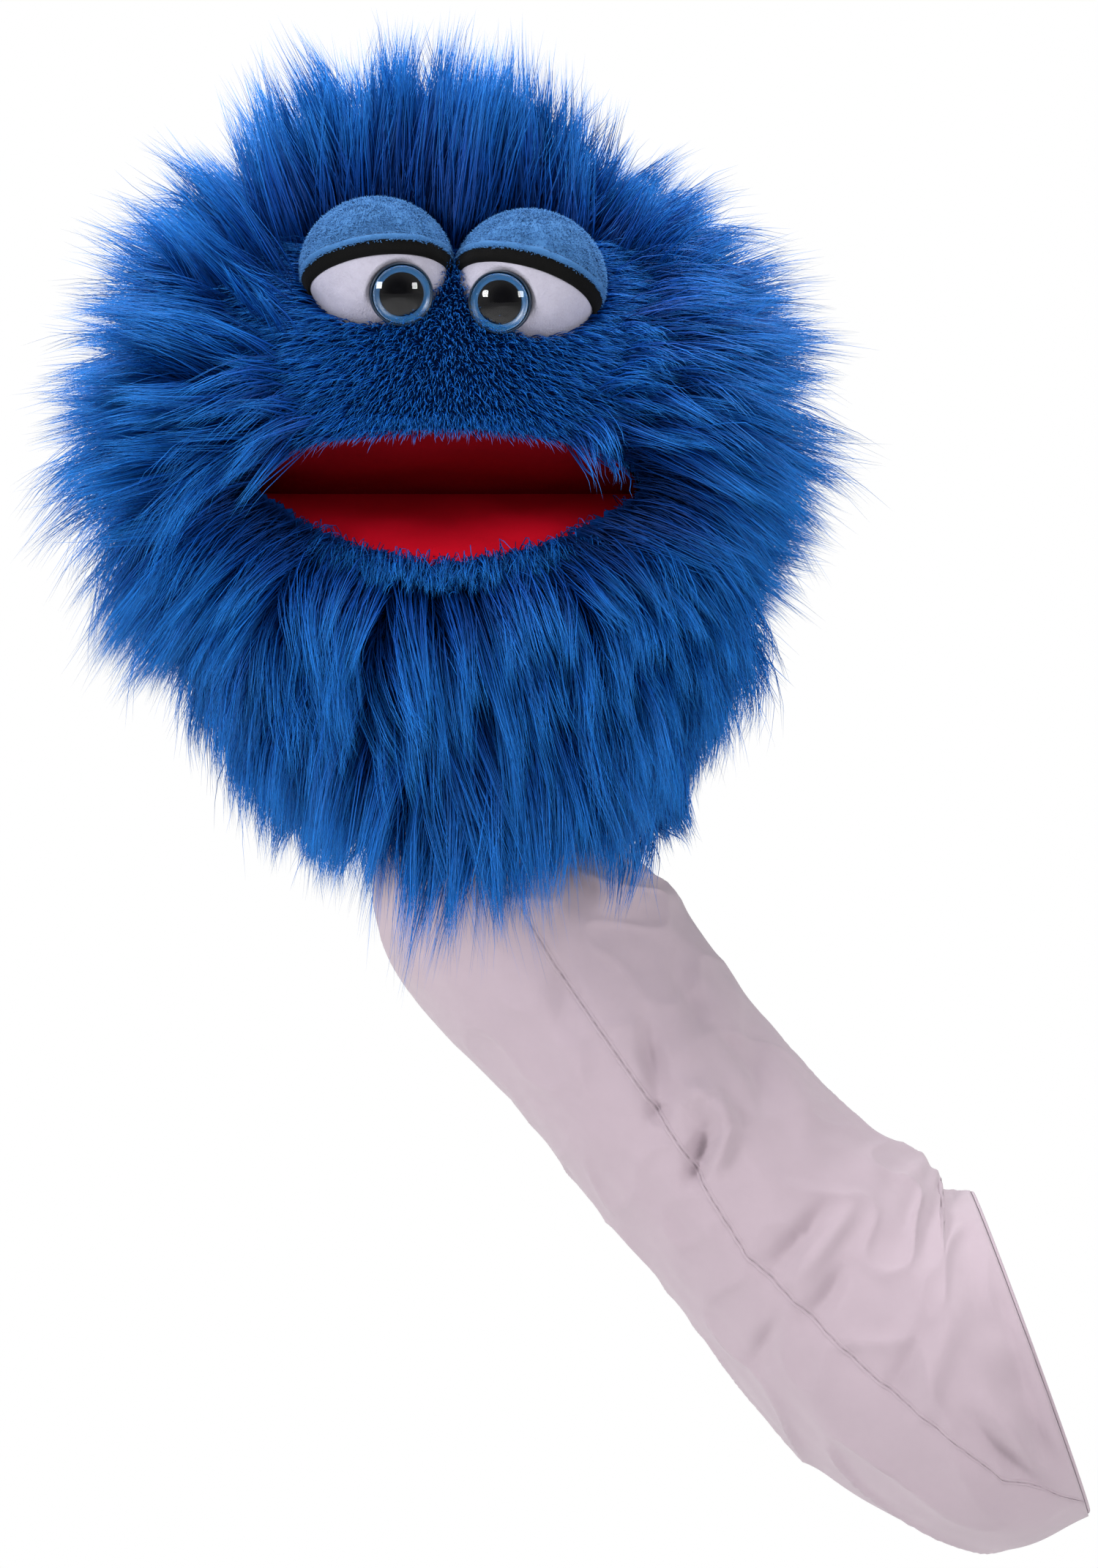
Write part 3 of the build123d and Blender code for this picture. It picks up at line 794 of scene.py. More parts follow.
def grow_pile(name, roots, normals, pile, rng, material):
    """The long pile on some of the skin, in objects of a few thousand fibres each."""
    place = roots - HINGE
    droop = 0.10 + 0.42 * np.clip(1 - normals[:, 2], 0, 2) ** 1.5
    chin = np.clip((-0.012 - place[:, 2]) / 0.04, 0, 1)
    droop += 1.1 * chin
    length = pile_length(place, pile) * rng.uniform(0.80, 1.06, len(roots))
    inward = -(place[:, 0] - PILE_MIDDLE) * chin * 6.0
    lean = wandering(roots, 32.0, 4.0) * 0.55
    lean[:, 0] += inward
    brow = np.clip((place[:, 2] - 0.058) / 0.02, 0, 1) * np.clip((-place[:, 1] - 0.015) / 0.03, 0, 1)
    lean[:, 2] += 1.5 * brow
    lean[:, 1] += 0.35 * brow
    lines = lock_lines(roots, normals, length, droop, rng, 6, 0.15, lean)
    lines = shape_to_reach(lines, normals, chin, rng)
    lines = held_back(gathered(lines, rng, 7, 0.62), rng)
    paths = lock_fibres(lines, normals, pile.fibres, 0.0062, rng)
    lowest = np.array(CAD_BOX[0]) - (0.018, 0.015, 0.018)
    highest = np.array(CAD_BOX[1]) + (0.014, 0.015, 0.016)
    paths = np.clip(paths, lowest, highest)
    clear = off_eyes(paths, 0.0030).all(axis=1)
    paths = paths[clear]
    shades = rng.uniform(0, 1, len(paths))
    width = pile.fibre_width * rng.uniform(0.7, 1.2, len(paths))
    return fibre_pieces(name, paths, width, shades, LONG_SHARE, material)


class PUPPET_OT_head_pile(bpy.types.Operator):
    """Make the backing and the long pile of the head, and the jaw's with it"""

    bl_idname = "puppet.head_pile"
    bl_label = "Head and jaw pile"

    def execute(self, context):
        pile = context.scene.puppet_pile
        colours = (tuple(pile.root_shade_colour), tuple(pile.middle_colour), tuple(pile.tip_light_colour))
        material = pile_material("long_pile", *colours)
        head_back, jaw_back = head_backing(pile)
        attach(head_back, "head")
        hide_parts("head_foam", "head_lining")
        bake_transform(jaw_back)
        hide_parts("chin_foam")

        rng = np.random.default_rng(11)
        points, normals = skin_spots(pile.head_locks)
        keep = ~on_jaw(points) & ~on_face(points, 0.054, 0.050)
        points, normals = points[keep], normals[keep]
        place = points - HEAD_CENTRE
        order = np.argsort(np.degrees(np.arctan2(place[:, 0], place[:, 1])))
        pieces = grow_pile("head_pile", points[order], normals[order], pile, rng, material)
        for piece in pieces:
            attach(piece, "head")
        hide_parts("crown_fur", "back_fur", "cheek_fur_left", "cheek_fur_right", "neck_fur")

        points, normals = skin_spots(pile.jaw_locks)
        keep = on_jaw(points) & ~in_mouth(points)
        points, normals = points[keep], normals[keep]
        order = np.argsort(points[:, 0])
        pieces = grow_pile("jaw_pile", points[order], normals[order], pile, rng, material)
        pieces.append(self.lip_fringe(pile, rng, material))
        for piece in pieces:
            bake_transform(piece)
        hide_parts("chin_fur")
        return {"FINISHED"}

    def lip_fringe(self, pile, rng, material):
        """Short locks rooted round the lower lip that stand over the edge of the felt."""
        count = 420
        across = np.linspace(-1.03, 1.03, count) + rng.normal(0, 0.004, count)
        edge = np.clip(1 - np.abs(across) ** 1.9, 0, 1) ** 0.9
        depth = 0.0012 + 0.0790 * edge
        drop = -depth * math.tan(math.radians(LOWER_LIP)) - rng.uniform(0.001, 0.006, count)
        roots = HINGE + np.column_stack([across * 0.0715 + 0.001, -depth, drop])
        outward = unit(np.column_stack([across * 0.5, -0.75 * np.ones(count), 0.50 * np.ones(count)]))
        length = rng.uniform(0.012, 0.026, count) * (0.7 + 0.5 * np.abs(across))
        lines = lock_lines(roots, outward, length, np.full(count, 2.2), rng, 6, 0.16)
        paths = lock_fibres(lines, outward, 11, 0.0034, rng)
        width = 0.9 * pile.fibre_width * rng.uniform(0.7, 1.2, len(paths))
        return fibre_mesh("lip_fringe", paths, width, rng.uniform(0, 1, len(paths)), material)


class PUPPET_OT_muzzle(bpy.types.Operator):
    """Make the short brushed pile between the eyes and the mouth"""

    bl_idname = "puppet.muzzle"
    bl_label = "Muzzle pile"

    def execute(self, context):
        pile = context.scene.puppet_pile
        rng = np.random.default_rng(23)
        points, normals = skin_spots(pile.muzzle_fibres)
        keep = on_face(points, 0.060, 0.056) & (below_front(points) < UPPER_LIP + 1.0)
        points, normals = points[keep], normals[keep]
        points = points + normals * 0.0005
        place = points - HINGE
        droop = np.full(len(points), 0.85)
        across = place[:, 0] - FACE_MIDDLE
        sideways = np.sign(across) * np.clip(np.abs(across) / 0.05, 0, 1)
        outward = np.zeros((len(points), 3))
        outward[:, 0] = 0.55 * sideways * np.abs(sideways)
        edge = np.clip(np.abs(across) / 0.055, 0, 1) ** 3
        length = (pile.muzzle_length + 0.020 * edge) * rng.uniform(0.75, 1.2, len(points))
        lines = lock_lines(points, normals, length, droop, rng, 4, 0.13, outward)
        keep = off_eyes(lines[:, 1:], 0.0002).all(axis=1)
        lines = lines[keep]
        shades = rng.uniform(0, 1, len(lines))
        width = 0.00052 * rng.uniform(0.7, 1.2, len(lines))
        # The muzzle's darker roots are painted shade and its lighter tips are painted light, as on the long
        # pile.
        shades_of_blue = (
            tinted(pile.root_shade_colour, 1.4),
            tinted(pile.middle_colour, 1.25),
            tinted(pile.tip_light_colour, 0.95),
        )
        material = pile_material("muzzle_pile", *shades_of_blue)
        pieces = fibre_pieces("muzzle_pile", lines, width, shades, SHORT_SHARE, material)
        for piece in pieces:
            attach(piece, "head")
        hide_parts("muzzle_fur")
        piece = self.lip_edge(rng, material)
        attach(piece, "head")
        return {"FINISHED"}

    def lip_edge(self, rng, material):
        """The brushed edge that hangs just over the upper lip."""
        count = 2600
        across = rng.uniform(-0.99, 0.99, count)
        depth = CORNER_EDGE + UPPER_EDGE * np.sqrt(1 - np.abs(across) ** 2.4)
        rise = depth * math.tan(math.radians(-UPPER_LIP)) + rng.uniform(0.0004, 0.0060, count)
        forward = -depth + rng.uniform(-0.001, 0.003, count)
        roots = HINGE + np.column_stack([across * FELT_HALF_WIDTH, forward, rise])
        outward = unit(np.column_stack([across * 0.5, -np.ones(count), 0.05 * np.ones(count)]))
        length = rng.uniform(0.0045, 0.0085, count) * (1 + 0.7 * np.abs(across) ** 4)
        lines = lock_lines(roots, outward, length, np.full(count, 1.5), rng, 4, 0.25)
        width = 0.0005 * rng.uniform(0.7, 1.2, count)
        return fibre_mesh("lip_edge", lines, width, rng.uniform(0, 1, count), material)


# ---- the eyes -----------------------------------------------------------------------------
def turned_about(centre, pole, start, profile, segments, wobble=0.0, seed=0.0):
    """Points of a profile of (radius, height) turned about a pole through a centre."""
    pole = unit(np.asarray(pole, float))
    side = unit(start - pole * np.dot(start, pole))
    over = np.cross(pole, side)
    rows = []
    for radius, height in profile:
        for step in range(segments):
            turn = 2 * math.pi * step / segments
            away = math.cos(turn) * side + math.sin(turn) * over
            point = radius * away + height * pole
            lump = noise.noise(Vector(point * 160 + seed)) * wobble
            rows.append(centre + point + unit(point) * lump)
    return rows


def turned_piece(name, centre, pole, start, profile, segments, material):
    """A piece of a profile turned about a pole through a centre."""
    points = turned_about(centre, pole, start, profile, segments)
    return new_piece(name, points, grid_faces(len(profile), segments), material)


def widened(points, centre, along, share):
    """Points drawn a little further from a centre, one way only."""
    place = points - centre
    return centre + place + along * (place @ along)[:, None] * share


class PUPPET_OT_eyes(bpy.types.Operator):
    """Make the fleece balls, plush lids, felt lash bands and plastic eyes"""

    bl_idname = "puppet.eyes"
    bl_label = "Eyes"

    def execute(self, context):
        eyes = context.scene.puppet_eyes
        rng = np.random.default_rng(5)
        fleece = nap_material("eye_fleece", tuple(eyes.white), 1300.0, 150.0, 0.0009, 0.8, 0.15)
        plush = nap_material("lid_plush", tinted(eyes.lid, 0.75), 900.0, 90.0, 0.0006, 0.6, 0.03)
        felt = nap_material("lash_felt", tuple(eyes.lash), 1400.0, 120.0, 0.0005, 0.7, 0.02)
        # The nap's darker roots are painted shade and its lighter tips are painted light.
        nap = pile_material(
            "lid_nap",
            tinted(eyes.lid, 0.55),
            tuple(eyes.lid),
            tinted(eyes.lid, 1.25),
            0.16,
            0.8,
        )
        for name, side in SIDES.items():
            centre, along, upward, forward = eye_axes(side)
            seat, gaze = self.plastic(name, centre, along, upward, forward, side, eyes)
            self.ball(name, centre, along, upward, forward, seat, gaze, fleece)
            slant = along * math.cos(eyes.lid_slant) - upward * side * math.sin(eyes.lid_slant)
            rise = upward * math.sin(eyes.lid_rise) + forward * math.cos(eyes.lid_rise)
            pole = unit(np.cross(rise, slant))
            self.lid(name, centre, pole, forward, plush, nap, rng, side)
            self.lash(name, centre, pole, forward, felt, side)
        return {"FINISHED"}

    def ball(self, name, centre, along, upward, forward, seat, gaze, material):
        """A stuffed ball, a little wider than it is high, with the plastic eye pressed into it."""
        rows, columns = 72, 112
        profile = [
            (EYE_RADIUS * math.sin(math.pi * r / (rows - 1)), EYE_RADIUS * math.cos(math.pi * r / (rows - 1)))
            for r in range(rows)
        ]
        profile[0] = (0.00005, EYE_RADIUS)
        profile[-1] = (0.00005, -EYE_RADIUS)
        points = np.array(turned_about(centre, forward, along, profile, columns, 0.00025, 3.0))
        points = widened(points, centre, along, 0.075)
        depth = (points - seat) @ gaze
        away = np.linalg.norm((points - seat) - depth[:, None] * gaze, axis=1)
        ahead = (points - centre) @ forward > 0
        dent = np.clip((0.0135 - away) / 0.0030, 0, 1) * ahead
        dent = dent * dent * (3 - 2 * dent)
        points -= gaze * (dent * np.clip(depth + 0.0012, 0, 0.006))[:, None]
        piece = new_piece(f"eye_ball_{name}", points, grid_faces(rows, columns), material)
        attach(piece, "head")
        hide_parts(f"eye_white_{name}", f"eye_filling_{name}")

    def lid(self, name, centre, pole, forward, material, nap, rng, side):
        """A plush shell over the upper half with a rolled lower edge, and its nap."""
        inner, outer = EYE_RADIUS + 0.0004, EYE_RADIUS + 0.0020
        turns = np.linspace(0.02, math.pi / 2 - 0.09, 40)
        profile = [(outer * math.sin(turn), outer * math.cos(turn)) for turn in turns]
        middle, half = (inner + outer) / 2 + 0.0002, (outer - inner) / 2 + 0.0006
        roll = np.linspace(math.radians(70), math.radians(-160), 12)
        profile += [(middle + half * math.cos(turn), 0.0012 + half * math.sin(turn)) for turn in roll]
        profile += [(inner * math.sin(turn), inner * math.cos(turn)) for turn in turns[::-4]]
        points = np.array(turned_about(centre, pole, forward, profile, 120, 0.0006, 9.0 + side))
        along = eye_axes(side)[1]
        points = widened(points, centre, along, 0.06)
        piece = new_piece(f"plush_lid_{name}", points, grid_faces(len(profile), 120), material)
        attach(piece, "head")
        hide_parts(f"eyelid_{name}")
        self.lid_nap(name, centre, pole, forward, outer, nap, rng)

    def lid_nap(self, name, centre, pole, forward, outer, nap, rng):
        """The lid's short nap, left off the half that faces into the head."""
        along = eye_axes(SIDES[name])[1]
        count = 11000
        cosine = rng.uniform(-0.03, 1, count)
        turn = rng.uniform(0, 2 * math.pi, count)
        first = unit(forward - pole * np.dot(forward, pole))
        second = np.cross(pole, first)
        sine = np.sqrt(1 - cosine**2)
        normals = (
            (sine * np.cos(turn))[:, None] * first
            + (sine * np.sin(turn))[:, None] * second
            + cosine[:, None] * pole
        )
        normals = normals[normals @ forward > -0.35]
        roots = widened(centre + normals * (outer - 0.0001), centre, along, 0.06)
        droop = np.full(len(roots), 0.5)
        length = rng.uniform(0.0009, 0.0017, len(roots))
        lines = lock_lines(roots, normals, length, droop, rng, 3, 0.35)
        width = np.full(len(lines), 0.00034)
        piece = fibre_mesh(f"lid_nap_{name}", lines, width, rng.uniform(0, 1, len(lines)), nap)
        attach(piece, "head")

    def lash(self, name, centre, pole, forward, material, side):
        """A felt strip under the lid's edge."""
        outer, inner, tall = EYE_RADIUS + 0.0014, EYE_RADIUS + 0.0002, 0.0050
        levels = np.linspace(0.0016, -tall, 9)
        bulge = [0.0, 0.0004, 0.0005, 0.0005, 0.0004, 0.0003, 0.0002, 0.0, -0.0006]
        profile = [(math.sqrt((outer + out) ** 2 - level**2), level) for level, out in zip(levels, bulge)]
        profile += [(math.sqrt(inner**2 - level**2), level) for level in levels[::-1]]
        profile.append(profile[0])
        points = np.array(turned_about(centre, pole, forward, profile, 160, 0.0003, 21.0 + side))
        along = eye_axes(side)[1]
        points = widened(points, centre, along, 0.068)
        piece = new_piece(f"felt_lash_{name}", points, grid_faces(len(profile), 160), material)
        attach(piece, "head")
        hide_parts(f"lash_band_{name}")

    def plastic(self, name, centre, along, upward, forward, side, eyes):
        """The plastic eye: a printed iris, a black pupil and a clear dome over both."""
        gaze = unit(forward * 0.97 - along * side * 0.14 - upward * 0.12)
        toward = unit(forward * 19.5 - along * side * 9.6 - upward * 8.6)
        seat = centre + toward * (EYE_RADIUS - 0.0006)
        iris = self.iris(name, seat, gaze, upward, eyes)
        pupil = self.pupil(name, seat, gaze, upward)
        dome = self.dome(name, seat, gaze, upward)
        for piece, slot in ((iris, "iris_plastic"), (pupil, "pupil_plastic"), (dome, "clear_plastic")):
            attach(piece, "head")
        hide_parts(f"eye_iris_{name}", f"eye_washer_{name}")
        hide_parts(f"eye_pupil_{name}")
        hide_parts(f"eye_dome_{name}")
        return seat, gaze

    def iris(self, name, seat, gaze, upward, eyes):
        """A printed disc with a raised collar."""
        rim, face, back = IRIS_RADIUS, 0.0012, -0.0016
        profile = [(0.00002, face), (rim * 0.66, face), (rim * 0.945, face), (rim * 0.95, 0.0024)]
        profile += [(rim * 0.965, 0.0027), (rim * 0.985, 0.0025), (rim, 0.0020)]
        profile += [(rim, -face), (rim * 0.5, back), (0.00002, back)]
        material = self.iris_material(name, seat, eyes)
        return turned_piece(f"iris_{name}", seat, gaze, upward, profile, EYE_SEGMENTS, material)

    def pupil(self, name, seat, gaze, upward):
        """A black disc that stands a little off the iris."""
        radius, low, high = 0.0074, 0.00125, 0.00175
        profile = [(0.00002, high), (radius - 0.0002, high)]
        profile += [(radius, low + 0.0003), (radius, low), (0.00002, low)]
        black = new_material(f"pupil_{name}", (0.0015, 0.0015, 0.002), 1.0, Specular_IOR_Level=0.0)[0]
        return turned_piece(f"pupil_{name}", seat, gaze, upward, profile, 72, black)

    def dome(self, name, seat, gaze, upward):
        """A low clear cap, part of a ball, that fits inside the iris's collar."""
        base, tall = 0.0016, 0.0046
        rim = IRIS_RADIUS - 0.0007
        ball = (rim**2 + tall**2) / (2 * tall)
        arc = np.linspace(0.001, math.asin((rim - 0.0001) / ball), 26)
        profile = [(ball * math.sin(turn), base + tall - ball + ball * math.cos(turn)) for turn in arc]
        profile += [(rim * 0.98, base - 0.0002), (rim * 0.6, base - 0.0002), (0.00002, base - 0.0002)]
        clear = clear_material(f"clear_dome_{name}")
        return turned_piece(f"clear_dome_{name}", seat, gaze, upward, profile, EYE_SEGMENTS, clear)

    def iris_material(self, name, centre, eyes):
        """Blue streaks that darken to the rim, by distance from the pupil."""
        material, tree, shader = new_material(f"iris_{name}", tuple(eyes.iris), 0.35)
        place = tree.nodes.new("ShaderNodeTexCoord")
        away = tree.nodes.new("ShaderNodeVectorMath")
        away.operation = "DISTANCE"
        away.inputs[1].default_value = tuple(centre)
        tree.links.new(place.outputs["Object"], away.inputs[0])
        share = math_node(tree, "MULTIPLY", away.outputs["Value"], 1 / IRIS_RADIUS)
        ramp = tree.nodes.new("ShaderNodeValToRGB")
        stops = ramp.color_ramp.elements
        blue = tuple(eyes.iris)
        stops[0].position = 0.62
        stops[0].color = (*tinted(blue, 0.75), 1.0)
        stops[1].position = 0.99
        stops[1].color = (*tinted(blue, 0.22), 1.0)
        for position, scale in ((0.72, 1.25), (0.84, 1.1), (0.93, 0.35)):
            stop = stops.new(position)
            stop.color = (*tinted(blue, scale), 1.0)
        streaks = tree.nodes.new("ShaderNodeTexNoise")
        streaks.inputs["Scale"].default_value = 900.0
        streaks.inputs["Detail"].default_value = 3.0
        tree.links.new(place.outputs["Object"], streaks.inputs["Vector"])
        wander = math_node(tree, "MULTIPLY_ADD", streaks.outputs[0], 0.06)
        shift = math_node(tree, "SUBTRACT", share, 0.03)
        tree.links.new(shift, wander.node.inputs[2])
        tree.links.new(wander, ramp.inputs[0])
        tree.links.new(ramp.outputs[0], shader.inputs["Base Color"])
        return material


# ---- the mouth and the inside -------------------------------------------------------------
class PUPPET_OT_mouth(bpy.types.Operator):
    """Make the mouth's felt and boards, and finish the pockets and the neck's cloth"""

    bl_idname = "puppet.mouth"
    bl_label = "Mouth and inside"

    def execute(self, context):
        cloth = context.scene.puppet_cloth
        red = tuple(cloth.felt)
        felt = nap_material("mouth_felt", red, 1100.0, 45.0, 0.0004, 0.4, 0.0)
        board = nap_material("mouth_board", (0.05, 0.05, 0.055), 300.0, 30.0, 0.0001, 0.3, 0.0)
        lining = cloth_material("lining_cloth", (0.012, 0.030, 0.11))
        # The neck's cloth is the sleeve's cotton darkened, painted shade under the beard.
        tape = cloth_material("neck_cloth", tinted(cloth.sleeve, 0.72), 900.0, 0.0002, 0.6)
        for node in ("finger_pocket", "thumb_pocket"):
            give_material(node, lining)
        for node in ("neck_tape", "neck_lining_band"):
            give_material(node, tape)
        # The palate's felt is the red felt darkened, painted shade in the upper half of the mouth.
        palate_shade = nap_material("palate_felt_painted_shade", tinted(red, 0.30), 1100.0, 45.0, 0.0004, 0.4, 0.0)
        self.lining(felt, palate_shade)
        self.board("upper_board", -1, board, "head", "upper_mouth_plate")
        self.board("lower_board", 1, board, "jaw", "lower_mouth_plate")
        return {"FINISHED"}

    def edge(self, half, across):
        """How far forward of the crease the mouth's edge stands, at a place across it."""
        if half < 0:
            return UPPER_EDGE * math.sqrt(max(0.0, 1 - abs(across) ** 2.4)) + CORNER_EDGE
        return LOWER_EDGE * max(0.0, 1 - abs(across) ** 1.9) ** 0.9 + CORNER_EDGE

    def slope(self, half):
        """How steeply one half of the mouth rises on its way forward."""
        return math.tan(math.radians(-UPPER_LIP if half < 0 else -LOWER_LIP))

    def lining(self, felt, palate_shade):
        """One felt oval that is folded along the crease, its halves a little soft and uneven, the palate's
        half in darker felt for painted shade.
        """
        columns, deep = 97, 46
        points = []
        runs = [(-1, share) for share in np.linspace(1, 0.012, deep)]
        runs += [(0, 0.0)]
        runs += [(1, share) for share in np.linspace(0.012, 1, deep)]
        for half, share in runs:
            for column in range(columns):
                across = -1 + 2 * column / (columns - 1)
                depth = 0.0012 + share * self.edge(half, across)
                x = across * FELT_HALF_WIDTH
                soft = noise.noise(Vector((x * 38, depth * 38, half * 5.0))) * 0.0011
                sag = (0.0008 + soft) * math.sin(math.pi * min(1.0, share)) + 0.0005
                up = depth * self.slope(half) * abs(half) + sag * half
                points.append(HINGE + (x, -depth, up))
        faces = grid_faces(len(runs), columns, closed_across=False)
        piece = new_piece("mouth_lining", points, faces, felt)
        piece.data.materials.append(palate_shade)
        # The palate's half takes the darker felt, painted shade.
        for number, face in enumerate(piece.data.polygons):
            face.material_index = 1 if number // (columns - 1) < deep else 0
        thicken(piece, "Felt", 0.0010, 0.0)
        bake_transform(piece)
        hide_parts("palate_lining", "tongue_lining", "mouth_crease")

    def board(self, name, half, material, body, node):
        """The stiff board behind one half of the felt."""
        columns, deep = 61, 26
        points = []
        slope = self.slope(half)
        for share in np.linspace(0.04, 0.93, deep):
            for column in range(columns):
                across = -0.985 + 1.97 * column / (columns - 1)
                depth = 0.003 + share * (self.edge(half, across) - 0.003)
                depth = max(depth, 0.0035 + 0.0002 * share)
                up = depth * slope - half * 0.0026
                points.append(HINGE + (across * 0.069, -depth, up))
        piece = new_piece(name, points, grid_faces(deep, columns, closed_across=False), material)
        thicken(piece, "Board", 0.0022, 0.0)
        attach(piece, body)
        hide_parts(node)


# ---- the sleeve ---------------------------------------------------------------------------
# Rounds from wrist to cuff: x, z, radius in millimetres, degrees that its run falls.
SLEEVE_ROUNDS = (
    (-191, 199, 45.2, 90),
    (-191, 189, 45.6, 90),
    (-188, 168, 52.0, 82),
    (-172, 143, 49.5, 62),
    (-151, 118, 46.0, 54),
    (-112, 71, 47.0, 50),
    (-77, 34, 51.5, 38),
    (-45, 4, 62.0, 12),
    (-22, -6, 67.5, -9),
    (0, 0, 62.9, -20),
)
# The long seam's line on the front of the sleeve: x and z in millimetres.
SEAM_LINE = ((-188, 168), (-172, 141), (-150, 109), (-126, 74), (-103, 37), (-58, -6), (-11, -44), (24, -54))
# Creases on the front: x and z of both ends, half width and depth, in millimetres; outward is above 0.
CREASES = (
    (-139, 122, -134, 92, 4.5, -4.2),
    (-134, 92, -137, 84, 4.0, -3.0),
    (-126, 92, -118, 97, 5.5, 3.4),
    (-116, 94, -110, 84, 4.0, 4.0),
    (-110, 84, -115, 68, 3.6, 3.4),
    (-117, 82, -121, 70, 3.6, -4.6),
    (-121, 70, -124, 62, 3.4, -3.0),
    (-73, 54, -93, 33, 4.6, -3.4),
    (-66, 55, -84, 30, 4.6, 2.8),
    (-67, 33, -81, 13, 3.6, -2.8),
    (-92, 12, -101, -4, 3.6, -2.2),
    (-28, 20, -42, -22, 5.5, 2.4),
    (-37, 16, -50, -12, 4.5, -2.0),
    (-3, 22, 14, -44, 3.6, 3.0),
    (-11, 18, 6, -42, 3.8, -3.2),
    (-18, -14, 12, -46, 3.6, 3.0),
    (-24, -20, 4, -48, 3.2, -2.4),
    (6, 6, 18, -46, 2.6, -2.2),
    (-101, 128, -97, 92, 4.0, -2.0),
    (-92, 118, -80, 78, 6.0, 2.0),
    (-166, 150, -170, 118, 5.0, -1.8),
    (-176, 128, -160, 96, 5.0, 1.4),
    (-128, 140, -116, 118, 4.0, -2.2),
    (-112, 120, -100, 104, 3.6, -1.8),
    (-140, 62, -120, 34, 5.0, -1.3),
    (-88, -22, -60, -48, 6.0, -1.3),
)


def smooth_table(rows, shares):
    """Rows of numbers read at shares of the way along them, on smooth curves."""
    table = np.array(rows, float)
    steps = np.hypot(np.diff(table[:, 0]), np.diff(table[:, 1]))
    knots = np.concatenate([[0], np.cumsum(steps)])
    knots /= knots[-1]
    slopes = np.gradient(table, knots, axis=0)
    place = np.clip(np.searchsorted(knots, shares, side="right") - 1, 0, len(knots) - 2)
    span = (knots[place + 1] - knots[place])[:, None]
    part = ((shares - knots[place]) / span[:, 0])[:, None]
    return (
        (2 * part**3 - 3 * part**2 + 1) * table[place]
        + (part**3 - 2 * part**2 + part) * span * slopes[place]
        + (3 * part**2 - 2 * part**3) * table[place + 1]
        + (part**3 - part**2) * span * slopes[place + 1]
    )


def fold_height(share, turn, depth):
    """How far the cloth stands in or out, at shares along and turns round from the front."""
    height = np.zeros(share.shape)
    for spot in np.ndindex(height.shape):
        along, angle = share[spot], turn[spot]
        ring = Vector((math.cos(angle), math.sin(angle), 0))
        broad = noise.noise(Vector((ring.x * 1.3, ring.y * 1.3, along * 6.0 + 4)))
        slanted = Vector((ring.x * 1.7 + along * 5.0, ring.y * 1.7 - along * 3.0, along * 9.0 + 11))
        crease = 1 - abs(noise.noise(slanted)) * 2.2
        fine = noise.noise(Vector((ring.x * 5, ring.y * 5, along * 22)))
        elbow = math.exp(-(((along - 0.80) / 0.17) ** 2))
        wrist = math.exp(-(((along - 0.10) / 0.12) ** 2))
        opening = math.exp(-((1 - along) / 0.05) ** 2)
        gathers = math.sin(9 * angle + 3 * math.sin(3 * angle)) * (0.25 * opening)
        pleats = math.sin(along * 95 + 1.5 * math.sin(2 * angle)) * max(0.0, math.sin(angle)) * elbow
        height[spot] = (
            0.55 * broad
            + (0.30 + 0.45 * elbow + 0.10 * wrist) * max(0.0, crease) ** 3 * 0.8
            + 0.16 * fine
            + 0.10 * pleats
            + gathers
        )
    return (height - 0.25) * depth


def crease_height(points):
    """The drawn creases, as heights at points on the front of the sleeve."""
    place = points[..., (0, 2)] * 1000
    height = np.zeros(place.shape[:-1])
    for x0, z0, x1, z1, width, depth in CREASES:
        start, run = np.array((x0, z0)), np.array((x1 - x0, z1 - z0))
        share = np.clip(((place - start) @ run) / (run @ run), 0, 1)
        away = np.linalg.norm(place - (start + share[..., None] * run), axis=-1) / width
        ends = 0.35 + 0.65 * np.sin(math.pi * np.clip(share, 0.0, 1.0)) ** 0.8
        height += 0.0014 * depth * ends * np.exp(-(away**2))
    return height * np.clip(-points[..., 1] / 0.012, 0, 1)


